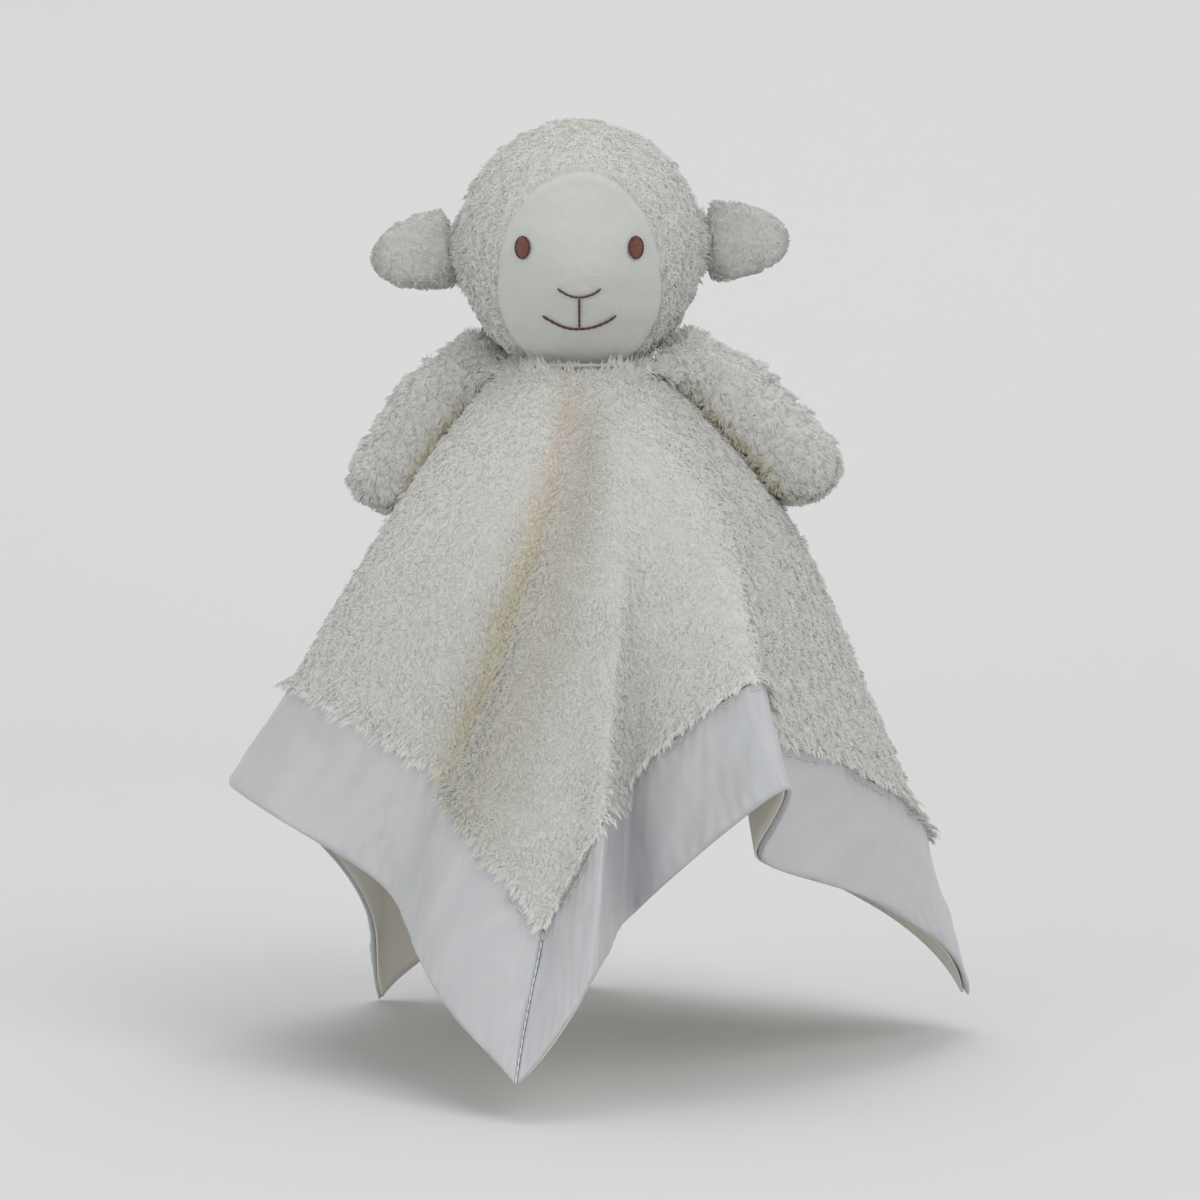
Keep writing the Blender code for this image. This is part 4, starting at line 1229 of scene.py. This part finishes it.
def shoulder(distances):
    """How much the arm's top is raised: fuller where it meets the head, and slimmer beyond."""
    shifts = np.array([-0.0020, -0.0010, 0.0, 0.0010, 0.0020])
    return np.interp(distances[..., None] + shifts, TOP_LINE[:, 0], TOP_LINE[:, 1]).mean(axis=-1)


def spread(distances, reach):
    """How much wider than deep the arm is, where it is pressed flat under the head."""
    return reach * (1 - ease((distances + SHOULDER_REACH) / 0.026))


def ring_distances(inset):
    """Where the rings are: evenly spaced to the hand, and closer together round it."""
    hand = ARM_LENGTH - ARM_THICKNESS / 2
    even = np.linspace(-SHOULDER_REACH, hand, arm_rows * 2 // 3, endpoint=False)
    closing = np.sin(np.linspace(0, 0.998, arm_rows - len(even)) * math.pi / 2)
    return np.concatenate([even, hand + (ARM_LENGTH - inset - hand) * closing])


def arm_grid(angles, inset, seed):
    """An arm's surface as rings of points, a depth inside its plush, and where each ring is."""
    distances = ring_distances(inset)
    places, way = arm_line(*angles, distances)
    side = unit(np.cross(way, (0.0, 0.0, 1.0)))
    up = np.cross(side, way)
    turns = np.linspace(0, 2 * math.pi, arm_around, endpoint=False)
    ring = side[:, None] * np.cos(turns)[:, None] + up[:, None] * np.sin(turns)[:, None]
    flat_end = np.where(distances < 0, 1 + ROOT_THINNING * distances / SHOULDER_REACH, 1.0)
    radius = (arm_radius(distances, inset) * flat_end)[:, None, None]
    points = places[:, None] + ring * radius
    forward = side[:, None, 1] * np.cos(turns) < 0
    reach = np.where(forward, FRONT_SPREAD, BACK_SPREAD)
    wider = np.cos(turns) * spread(distances[:, None], reach)
    points = points + side[:, None] * wider[..., None]
    over = np.maximum(ring[..., 2], 0.0)
    points[..., 2] += over * shoulder(distances)[:, None]
    lumps = 0.0003 * unevenness(points, 0.014, seed) + 0.0002 * unevenness(points, 0.005, seed + 1)
    return points + ring * np.minimum(lumps, radius[..., 0] * 0.2)[..., None], distances


print("the top is raised by up to", round(TOP_LINE[:, 1].max() / MM, 1), "mm")

# %% Arms that lean on the blanket
ARM_CLEAR = 0.0016              # how far off the blanket's face the sleeve stays
THIN = 3                        # every third place of the map is enough to find the nearest
cloth_spots = cloth_map[::THIN, ::THIN].reshape(-1, 3)
cloth_looks = face_normals[::THIN, ::THIN].reshape(-1, 3)
nearest_cloth = neighbour_finder(cloth_spots)


def gap_to_cloth(points):
    """How far points stand off the blanket's face, and the way it looks there."""
    nearest = nearest_cloth(points.reshape(-1, 3)).reshape(points.shape[:-1])
    return np.sum((points - cloth_spots[nearest]) * cloth_looks[nearest], axis=-1), cloth_looks[nearest]


def painted_shade_near_blanket(points):
    """Painted shade on the arms' plush: warmer and darker where it lies close to the blanket, away from
    the neck.
    """
    close = 1 - ease((gap_to_cloth(points)[0] - 0.0025) / 0.0045)
    close = close * ease((np.hypot(points[:, 0], points[:, 1]) - 0.032) / 0.012)
    return 1 - close[:, None] * (1 - np.array(PAINTED_SHADE_SAND))


def leaned(points, distances):
    """Lets the soft arm fill out towards the blanket beside it, and stop just short of it."""
    gap, looks = gap_to_cloth(points)
    near = 1 - ease((gap - 0.006) / 0.010)
    along = ease((ARM_LENGTH - distances) / 0.014)[:, None]
    move = np.maximum(gap - ARM_CLEAR, 0.0) * near * along
    return points - looks * move[..., None]


print("places of the blanket to lean on:", len(cloth_spots))

# %% Sleeves
arm_surfaces, arm_bends, arms = {}, {}, []
for number, (name, angles) in enumerate(ARMS.items()):
    outer, _ = arm_grid(angles, 0.0, 70 + number)
    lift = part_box(name + "_cover")[0][2] - outer[..., 2].min()
    points, distances = arm_grid(angles, ARM_BACKING, 70 + number)
    points = leaned(points + np.array([0.0, 0.0, lift]), distances)
    faces = grid_faces(arm_rows, arm_around, closed=True)
    root = np.arange(arm_around)
    tip = np.arange((arm_rows - 1) * arm_around, arm_rows * arm_around)
    points = points.reshape(-1, 3)
    mesh = make_mesh(name + "_sleeve", points, [faces, np.stack([root[::-1], tip])])
    tidy_normals(mesh)
    # painted shade where the sleeve lies close to the blanket
    set_painted_shade(mesh, painted_shade_near_blanket(points))
    line = arm_line(*angles, np.array([0.002, 0.026]))[0] + np.array([0.0, 0.0, lift])
    arm_bends[name] = [tuple(place) for place in line]
    piece = add_piece(name + "_sleeve", mesh, shade_painted_plush, name, arm_bends[name])
    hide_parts(name + "_cover")
    arm_surfaces[name] = (points, faces)
    arms.append(piece)
    print(name, "sits", round(lift / MM, 2), "mm higher than its line")

# %% [markdown]
# ## The pile
#
# Plush is thousands of fine yarn ends that stick together in small soft locks. They stand up from
# the backing, and lean the way that the cloth was brushed. Blender's hair system grows such
# fibres, but hair is lost when the model is exported as plain meshes. So each lock here is a
# curved, three-sided spindle that runs out to a point. Its tip leans towards the middle of its
# tuft.
#
# Light sinks into real pile and comes out again, which makes it look even and soft. Small solid
# spikes would look like chips of wood. So a lock is shaded mostly like the cloth that it stands
# on: its corners carry normals of their own. Those of its underside are turned away from its top,
# or the underside would go black.


# %% Roots spread over a surface, and their tufts
def scatter(surface, count, seed, centre=None, flat=None):
    """Random points on a grid surface, spread by area, the way it looks there and their flat places."""
    points, faces = surface
    random = np.random.default_rng(seed)
    first = points[faces[:, 2]] - points[faces[:, 0]]
    second = points[faces[:, 3]] - points[faces[:, 1]]
    normals = np.cross(first, second)
    area = np.linalg.norm(normals, axis=1) / 2
    chosen = np.searchsorted(np.cumsum(area) / area.sum(), random.uniform(0, 1, count))
    s, t = random.uniform(0, 1, (2, count, 1))
    shares = ((1 - s) * (1 - t), s * (1 - t), s * t, (1 - s) * t)
    spots = sum(points[faces[chosen, corner]] * share for corner, share in enumerate(shares))
    normals = unit(normals[chosen])
    if centre is not None:
        away = np.sum((spots - centre(spots)) * normals, axis=1, keepdims=True)
        normals = normals * np.where(away < 0, -1.0, 1.0)
    if flat is not None:
        flat = sum(flat[faces[chosen, corner]] * share for corner, share in enumerate(shares))
    return spots, normals, flat


def tuft_middles(roots, spacing, seed):
    """For each root, the middle of the tuft that it belongs to, and that tuft's number."""
    random = np.random.default_rng(seed)
    cells = np.floor((roots - roots.min(axis=0)) / spacing).astype(int)
    _, one_each = np.unique(cells, axis=0, return_index=True)
    middles = roots[one_each] + random.normal(0, spacing * 0.2, (len(one_each), 3))
    nearest = neighbour_finder(middles)(roots)
    return middles[nearest], nearest


TUFT, EAR_TUFT = 0.0032, 0.0028
sample = scatter(cap_surface, 500, 1)[0]
print("500 roots on the cap fall into", tuft_middles(sample, TUFT, 1)[1].max() + 1, "tufts")

# %% How a lock is shaded
LOCK_WALLS = np.array([[0, 1, 4, 3], [1, 2, 5, 4], [2, 0, 3, 5]])
LOCK_ENDS = np.array([[3, 4, 6], [4, 5, 6], [5, 3, 6]])
LOCK_POINTS = 7
UNDERSIDE = 0.5                 # how far the underside, the first wall and end, is shaded its own way


def lock_looks(soft, ring, top):
    """Normals for a lock's seven points, mostly the cloth's own, and the one for its underside."""
    lower = [unit(0.94 * soft + 0.06 * way) for way in ring]
    upper = [unit(0.90 * soft + 0.10 * way) for way in ring]
    away = np.maximum(0.0, UNDERSIDE + np.sum(soft * top, axis=1, keepdims=True))
    return np.stack([*lower, *upper, soft], axis=1), unit(soft - away * top)


print("a lock has", len(LOCK_WALLS) + len(LOCK_ENDS), "faces")

# %% Locks
PER_PIECE = 22000
LEAN = 0.72                     # how far a lock leans along the cloth, as a share of its length
GATHER = 0.5                    # how far its tip moves to the middle of its tuft


def locks_mesh(name, roots, normals, length, width, tuft, seed, rise=0.40, upright=0.0, pull=0.0):
    """Curved locks on roots, brushed downwards and by a pull, or standing up where upright is 1."""
    random = np.random.default_rng(seed)
    count = len(roots)
    middles, nearest = tuft_middles(roots, tuft, seed + 1)
    tufts = nearest.max() + 1
    longer = random.uniform(0.75, 1.3, tufts)[nearest]
    tuft_way = random.normal(size=(tufts, 3))[nearest]
    long = (np.broadcast_to(length, count) * longer * random.uniform(0.8, 1.15, count))[:, None]
    outward = roots * np.array([1.0, 1.0, 0.0])
    down = np.array([0.0, 0.0, -1.0]) + 0.4 * unit(outward)

    def along_cloth(ways):
        return ways - np.sum(ways * normals, axis=1, keepdims=True) * normals

    stray = 0.35 * random.normal(size=(count, 3))
    brush = unit(along_cloth(down + 0.55 * tuft_way + stray + pull))
    towards = along_cloth(middles - roots)
    upright = np.broadcast_to(upright, count)[:, None]
    stand = rise * random.uniform(0.65, 1.45, tufts)[nearest][:, None]
    stand, lean = stand + (0.9 - stand) * upright, LEAN * (1 - 0.8 * upright)
    tips = roots + normals * long * stand + brush * long * lean + towards * GATHER
    bend = roots + (tips - roots) * 0.45 + normals * long * 0.22
    side = unit(np.cross(tips - roots, normals))
    top = unit(np.cross(side, tips - roots))
    top = top * np.where(np.sum(top * normals, axis=1, keepdims=True) < 0, -1.0, 1.0)
    half = (width * random.uniform(0.75, 1.25, count) / 2)[:, None]
    sunk = roots - normals * half
    ring = [-side - top * 0.2, side - top * 0.2, top * 0.45]
    lower = [sunk + way * half for way in ring]
    upper = [bend + way * half * 0.9 for way in ring]
    points = np.stack([*lower, *upper, tips], axis=1)
    soft = unit(normals + 0.12 * random.normal(size=(count, 3)))
    looks, below = lock_looks(soft, ring, top)
    across = np.cross(points[:, 1] - points[:, 0], points[:, 3] - points[:, 0])
    inside_out = np.sum(across * (-top), axis=1) < 0
    for table in (points, looks):
        table[inside_out] = table[inside_out][:, [1, 0, 2, 4, 3, 5, 6]]
    start = LOCK_POINTS * np.arange(count)[:, None, None]
    kinds = (LOCK_WALLS, LOCK_ENDS)
    faces = [(table[None] + start).reshape(-1, table.shape[1]) for table in kinds]
    mesh = make_mesh(name, points.reshape(-1, 3), faces)
    corners = [looks[:, table] for table in kinds]
    for table in corners:
        table[:, 0] = below[:, None]
    mesh.normals_split_custom_set(np.concatenate([table.reshape(-1, 3) for table in corners]).tolist())
    return mesh


print("locks in a piece:", PER_PIECE)

# %% [markdown]
# ## Pile on the blanket
#
# The blanket has a short thick coat and a longer, looser one over it, which together hide the
# backing as real plush does. Near the neck the pile stands up and is longer, as it is where the
# head presses the cloth together. At the seam it is pulled out over the satin's edge, so no bare
# edge shows. Each quarter of the blanket is a piece of its own, to keep the pieces small.


# %% Locks on the blanket
def quarter(side):
    """The backing's upper skin in the quarter that lies behind one side of the hem, out to the seam."""
    run = np.linspace(-INNER, INNER, plush_count)
    places = np.stack(np.meshgrid(run, run, indexing="ij"), axis=-1).reshape(-1, 2)
    faces = grid_faces(plush_count, plush_count)
    middle = places[faces].mean(axis=1)
    out, way = np.array(SIDES[side][0]), np.array(SIDES[side][1])
    inside = (middle @ out) >= np.abs(middle @ way)
    far = np.hypot(middle[:, 0], middle[:, 1]) > NECK_RADIUS - 0.001
    return (cloth(places, BACKING_TOP), faces[inside & far]), places


COATS = {                       # length, width and how far they stand up
    "under": (0.0021, 0.00062, 0.45),
    "over": (0.0028, 0.00050, 0.52),
}
NECK_PILE, SEAM_PILE = 1.6, 1.7     # how much longer the pile is at the neck and the seam
SEAM_WIDER, SEAM_PULL = 0.8, 4.0
CHIN_ANGLE = 4.0                # pile is shorter under the chin, this many degrees from the corner
piles = []


def neck_and_seam(flat):
    """How near flat places are to the neck and to the hem's seam: 1 there, 0 away from them."""
    angles, distances = from_middle(flat[:, 0], flat[:, 1])
    off_chin = np.abs((angles + CHIN_ANGLE + 180.0) % 360.0 - 180.0)
    near_neck = 1 - ease((distances - 0.017) / 0.016)
    near_neck = near_neck * (0.55 + 0.45 * ease((off_chin - 8.0) / 35.0))
    return near_neck, 1 - ease((INNER - np.abs(flat).max(axis=1)) / 0.004)


for number, side in enumerate(SIDES):
    surface, places = quarter(side)
    for layer, (coat, (length, width, rise)) in enumerate(COATS.items()):
        seed = 100 + 10 * number + layer
        roots, _, flat = scatter(surface, PER_PIECE, seed, flat=places)
        normals = look_up(layer_normals, flat)
        near_neck, near_seam = neck_and_seam(flat)
        longer = length * (1 + NECK_PILE * near_neck + SEAM_PILE * near_seam)
        wider = width * (1 + SEAM_WIDER * near_seam)
        out = np.array(SIDES[side][0]) * 0.002
        outwards = unit(look_up(cloth_map, flat + out) - look_up(cloth_map, flat - out))
        pull = outwards * SEAM_PULL * near_seam[:, None]
        upright = np.maximum(near_neck, 0.15 * near_seam)
        name = f"blanket_pile_{side[4:]}_{coat}"
        mesh = locks_mesh(name, roots, normals, longer, wider, TUFT, seed + 10, rise, upright, pull)
        # each lock carries the painted shade of the fold at its root
        set_painted_shade(mesh, np.repeat(painted_fold_shade(flat), LOCK_POINTS, axis=0))
        piles.append(add_piece(name, mesh, shade_painted_plush, "blanket"))
print("blanket locks:", PER_PIECE * len(piles))

# %% [markdown]
# ## The face's embroidery
#
# Eyes are satin stitch: rows of thread side by side, with an outline round them. The nose and
# mouth are single lines of short stitches. A drawing on the face's material would lie flat, and
# real thread stands up and catches the light, so the same spindles as in the hem are laid on the
# face.

# %% Eyes
EYE_OUT, EYE_UP = 0.0173, 0.0370
EYE_WIDTH, EYE_HEIGHT = 0.0044, 0.0066
EYE_ROWS, EYE_RIM_STITCHES = 15, 22
EYE_FILL = 0.93                 # share of the oval that the rows fill, inside its outline
ROW_TILT = 14
EYE_THREAD, RIM_THREAD = 0.00056, 0.00062


def eye_threads(side):
    """Rows of thread across an oval, and the outline round it."""
    centre_x = side * EYE_OUT
    tilt = math.radians(ROW_TILT * side)
    random = np.random.default_rng(60 + side)
    height = (np.arange(EYE_ROWS) - (EYE_ROWS - 1) / 2) / (EYE_ROWS / 2)
    reach = np.sqrt(1 - height**2) * EYE_WIDTH / 2 * EYE_FILL
    z = EYE_UP + height * EYE_HEIGHT / 2 * EYE_FILL
    ends_of_rows = []
    for sign in (-1, 1):
        x = centre_x + sign * reach
        at = z + sign * reach * math.sin(tilt) + random.normal(0, 0.00004, EYE_ROWS)
        ends_of_rows.append(face_point(x, at, 0.0005)[0])
    up = face_point(np.full(EYE_ROWS, centre_x), z)[1]
    inner = stitches(*ends_of_rows, up, EYE_THREAD, rise=0.9, along=9)
    turn = np.linspace(0, 2 * math.pi, EYE_RIM_STITCHES + 1)
    rim_x = centre_x + np.cos(turn) * EYE_WIDTH / 2
    rim_z = EYE_UP + np.sin(turn) * EYE_HEIGHT / 2
    rim, outward = face_point(rim_x, rim_z, 0.00045)
    over = (rim[1:] - rim[:-1]) * 0.35
    outer = stitches(rim[:-1], rim[1:] + over, outward[:-1], RIM_THREAD, rise=0.2)
    return inner, outer


for name, side in (("eye_left", 1), ("eye_right", -1)):
    inner, outer = eye_threads(side)
    for part, threads, finish in (("threads", inner, brown_thread), ("outline", outer, dark_thread)):
        mesh = make_mesh(f"{name}_{part}", *threads)
        add_piece(f"{name}_{part}", mesh, finish, "head")
    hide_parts(name)


# %% Nose and mouth
def stitched_line(name, x, z, thickness, seed):
    """Short stitches along a line of the face, each a little off the last."""
    random = np.random.default_rng(seed)
    places, outward = face_point(x, z + random.normal(0, 0.00006, len(z)), thickness * 0.45)
    starts, ends = places[:-1], places[1:]
    over = (ends - starts) * 0.16
    points, faces = stitches(starts - over, ends + over, outward[:-1], thickness, rise=0.25)
    mesh = make_mesh(name + "_line", points, faces)
    piece = add_piece(name + "_line", mesh, dark_thread, "head")
    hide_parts(name)
    return piece


nose, mouth = np.linspace(-1, 1, 9), np.linspace(-1, 1, 13)
lines = [
    stitched_line("nose_stitch", nose * 0.0064, 0.0217 + 0.0025 * nose**2, 0.00075, 71),
    stitched_line("mouth_stitch", mouth * 0.0110, 0.0123 + 0.0039 * mouth**2, 0.00085, 72),
    stitched_line("lip_stitch", np.zeros(7), np.linspace(0.0211, 0.0129, 7), 0.00080, 73),
]

# %% [markdown]
# ## Pile on the head, ears and arms
#
# The same locks grow on the cap, on the sleeves and on the ears. Beside an ear's root and at an
# arm's root they are longer and stand up, because they close the seam there. On the smooth fronts
# of the ears they are much shorter.

# %% Locks on the head
for layer, (coat, (length, width, rise)) in enumerate(COATS.items()):
    head_middle = np.array([0.0, 0.0, HEAD_CENTRE])
    roots, normals, _ = scatter(cap_surface, PER_PIECE, 130 + layer, lambda spots: head_middle)
    kept = roots[:, 2] > 0.0016         # none at the cut neck
    roots, normals = roots[kept], normals[kept]
    ear_roots = [ear_place(side, level) for side, level, _ in EARS.values()]
    ear_gap = np.min([np.linalg.norm(roots - place, axis=1) for place in ear_roots], axis=0)
    near_ear = 1 - ease((ear_gap - 0.009) / 0.006)
    longer, upright = length * (1 + 0.5 * near_ear), 0.7 * near_ear
    name = "head_pile_" + coat
    mesh = locks_mesh(name, roots, normals, longer, width, TUFT, 133 + layer, rise, upright)
    piles.append(add_piece(name, mesh, plush, "head"))
print("locks on the head's last coat:", len(roots))

# %% Locks on the arms
ARM_PILE_LENGTH, ARM_PILE_WIDTH, ARM_PILE_RISE = 0.0028, 0.00055, 0.65
ARM_LOCKS = PER_PIECE * 9 // 10
for number, name in enumerate(ARMS):
    centre_line = arm_line(*ARMS[name], np.linspace(-SHOULDER_REACH, ARM_LENGTH, 90))[0]
    nearest_centre = neighbour_finder(centre_line)
    roots, normals, _ = scatter(
        arm_surfaces[name], ARM_LOCKS, 140 + number, lambda spots: centre_line[nearest_centre(spots)],
    )
    root_gap = np.linalg.norm(roots - np.array(arm_bends[name][0]), axis=1)
    near_root = 1 - ease((root_gap - 0.009) / 0.008)
    longer, upright = ARM_PILE_LENGTH * (1 + 0.7 * near_root), 0.6 * near_root
    mesh = locks_mesh(
        name + "_pile", roots, normals, longer, ARM_PILE_WIDTH, TUFT, 145 + number,
        ARM_PILE_RISE, upright,
    )
    # painted shade where the arm's pile lies close to the blanket
    set_painted_shade(mesh, np.repeat(painted_shade_near_blanket(roots), LOCK_POINTS, axis=0))
    piles.append(add_piece(name + "_pile", mesh, shade_painted_plush, name, arm_bends[name]))
print("locks on an arm:", len(roots))

# %% Locks on the ears
EAR_COATS = {"front": (0.0012, 0.0005, velour, -1.0), "back": (0.0020, 0.0006, plush, 1.0)}
for number, (name, (side, level, droop)) in enumerate(EARS.items()):
    for part, (length, width, finish, towards) in EAR_COATS.items():
        seed = 160 + 4 * number + (part == "back")
        roots, normals, _ = scatter(ear_surfaces[name, part], int(PER_PIECE * 0.22), seed)
        normals = normals * (np.sign(normals[:, 1]) * towards)[:, None]
        off = roots - ear_place(side, level) - np.array([side * 0.4 * EAR_LENGTH, 0.0, 0.0])
        radial = off * np.array([1 / (0.6 * EAR_LENGTH), 0.0, 2 / EAR_HEIGHT])
        normals = unit(normals + 1.6 * radial * np.linalg.norm(radial, axis=1, keepdims=True) ** 3)
        mesh = locks_mesh(f"{name}_{part}_pile", roots, normals, length, width, EAR_TUFT, seed + 10)
        piles.append(add_piece(f"{name}_{part}_pile", mesh, finish, name))
for piece in piles:
    piece.visible_shadow = False    # pile lets light through, so only its cloth casts a shadow
print("pile pieces:", len(piles))

# %% [markdown]
# ## The packed parts that stay, and their finishes
#
# The blanket's top, with its hem, and its lining are sheets that are held up by the neck. Head,
# ears and arms are stuffed. What isn't replaced, the filling and the thread round the neck, keeps
# its packed shape and gets a finish of this scene.

CARRIED_OVER = {
    "head_stuffing": stuffing, "arm_left_stuffing": stuffing, "arm_right_stuffing": stuffing,
    "neck_thread": seam_thread,
}
for name, finish in CARRIED_OVER.items():
    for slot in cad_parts[name].material_slots:
        slot.material = finish

# %% [markdown]
# ## The studio
#
# The photograph is taken from the front, a little above the toy's middle, on a plain light grey
# ground. A floor and a wall would meet in a line behind the toy, so the floor rises into the
# backdrop in one sweep.

# %% The floor
FLOOR_COLOUR = (0.68, 0.685, 0.68)
SWEEP_START, SWEEP_RADIUS = 0.9, 1.2
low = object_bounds()[0][2] - 0.0005
profile = [(-2.0, 0.0), (SWEEP_START, 0.0)]
for turn in np.linspace(0.1, math.pi / 2, 16):
    out, up = SWEEP_RADIUS * math.sin(turn), SWEEP_RADIUS * (1 - math.cos(turn))
    profile.append((SWEEP_START + out, up))
profile.append((SWEEP_START + SWEEP_RADIUS, 4.0))
points = np.array([(x, y, low + z) for x in (-4.0, 4.0) for y, z in profile])
mesh = make_mesh("floor", points, [grid_faces(2, len(profile))])
made, tree, shader, spot = new_material("floor", 0.9, Specular_IOR_Level=0.1)
darker = tuple(0.99 * part for part in FLOOR_COLOUR)
plug(tree, noise(spot, 6.0).mix(darker, FLOOR_COLOUR), shader.inputs["Base Color"])
mesh.materials.append(made)
floor = bpy.data.objects.new("floor", mesh)
bpy.context.scene.collection.objects.link(floor)
floor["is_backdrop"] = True
print("the floor is at", round(low / MM, 1), "mm")

# %% [markdown]
# ## Light
#
# A studio lights a pale soft toy with large soft boxes, so that its folds show and nothing turns
# white. Small lamps would give hard shadows between the locks. Three wide area lights do it here:
# the key from the upper right, a weaker fill from the left and one from above. The world adds a
# little even light. What the camera sees of it is a flat pale grey of its own, so the
# background's tone is set without more light on the toy.

# %% Lamps and the world
LAMP_SIZE = 2.8
LAMPS = {                       # where each stands, what it points at and its power in watts
    "key": ((2.0, -2.4, 2.6), (0, 0, -0.08), 57.0),
    "fill": ((-2.6, -2.4, 0.5), (0, 0, -0.08), 37.0),
    "top": ((0.0, 0.9, 3.2), (0, 0.6, 0), 33.0),
}
ROOM_COLOUR, ROOM_STRENGTH = (0.93, 0.94, 0.945), 0.60
BACKDROP_COLOUR = (0.690, 0.700, 0.695)
for name, (place, target, power) in LAMPS.items():
    light = bpy.data.lights.new(name, "AREA")
    light.shape = "SQUARE"
    light.size = LAMP_SIZE
    light.energy = power
    lamp = bpy.data.objects.new(name, light)
    bpy.context.scene.collection.objects.link(lamp)
    lamp.location = place
    lamp.rotation_euler = (Vector(target) - Vector(place)).to_track_quat("-Z", "Y").to_euler()
    lamp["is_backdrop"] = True

world = bpy.data.worlds.new("studio")
bpy.context.scene.world = world
world.use_nodes = True
tree = world.node_tree
room = tree.nodes["Background"]
room.inputs["Color"].default_value = (*ROOM_COLOUR, 1.0)
room.inputs["Strength"].default_value = ROOM_STRENGTH
path = tree.nodes.new("ShaderNodeLightPath")
kinds = ("Camera", "Glossy", "Transmission")
seen, glossy, through = [Wire(tree, path.outputs[f"Is {kind} Ray"]) for kind in kinds]
backdrop = seen.node("ShaderNodeBackground", Color=BACKDROP_COLOUR)
both = tree.nodes.new("ShaderNodeMixShader")
plug(tree, seen.most(glossy.most(through)), both.inputs["Fac"])
tree.links.new(room.outputs["Background"], both.inputs[1])
plug(tree, backdrop, both.inputs[2])
tree.links.new(both.outputs["Shader"], tree.nodes["World Output"].inputs["Surface"])
bpy.context.scene.view_settings.view_transform = "Standard"
print("lamps:", len(LAMPS))

# %% [markdown]
# ## Camera
#
# A long lens from about a metre away keeps the toy's proportions as the photograph has them. A
# wide lens from close by would swell the head. It looks down by three degrees.

# %% The camera
CAMERA_TARGET, CAMERA_DISTANCE = Vector((0.0064, 0.0, -0.0736)), 1.0667
LENS, SENSOR, LOOKING_DOWN = 100.0, 36.0, math.radians(3.0)
camera_data = bpy.data.cameras.new("camera")
camera_data.lens = LENS
camera_data.sensor_width = SENSOR
camera = bpy.data.objects.new("camera", camera_data)
bpy.context.scene.collection.objects.link(camera)
back_and_up = Vector((0.0, -math.cos(LOOKING_DOWN), math.sin(LOOKING_DOWN)))
camera.location = CAMERA_TARGET + CAMERA_DISTANCE * back_and_up
camera.rotation_euler = (CAMERA_TARGET - camera.location).to_track_quat("-Z", "Y").to_euler()
bpy.context.scene.camera = camera
print("camera at", [round(value, 3) for value in camera.location])

# %% [markdown]
# ## Measure and finish
#
# The dressed toy may be a little fuller than its plain solids. So its box is printed beside theirs.

# %% Sizes, and the end
end_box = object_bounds()
boxes = {"cad": start_box, "scene": end_box}
for name, box in boxes.items():
    print("size of", name, "in mm:", size_of(box))
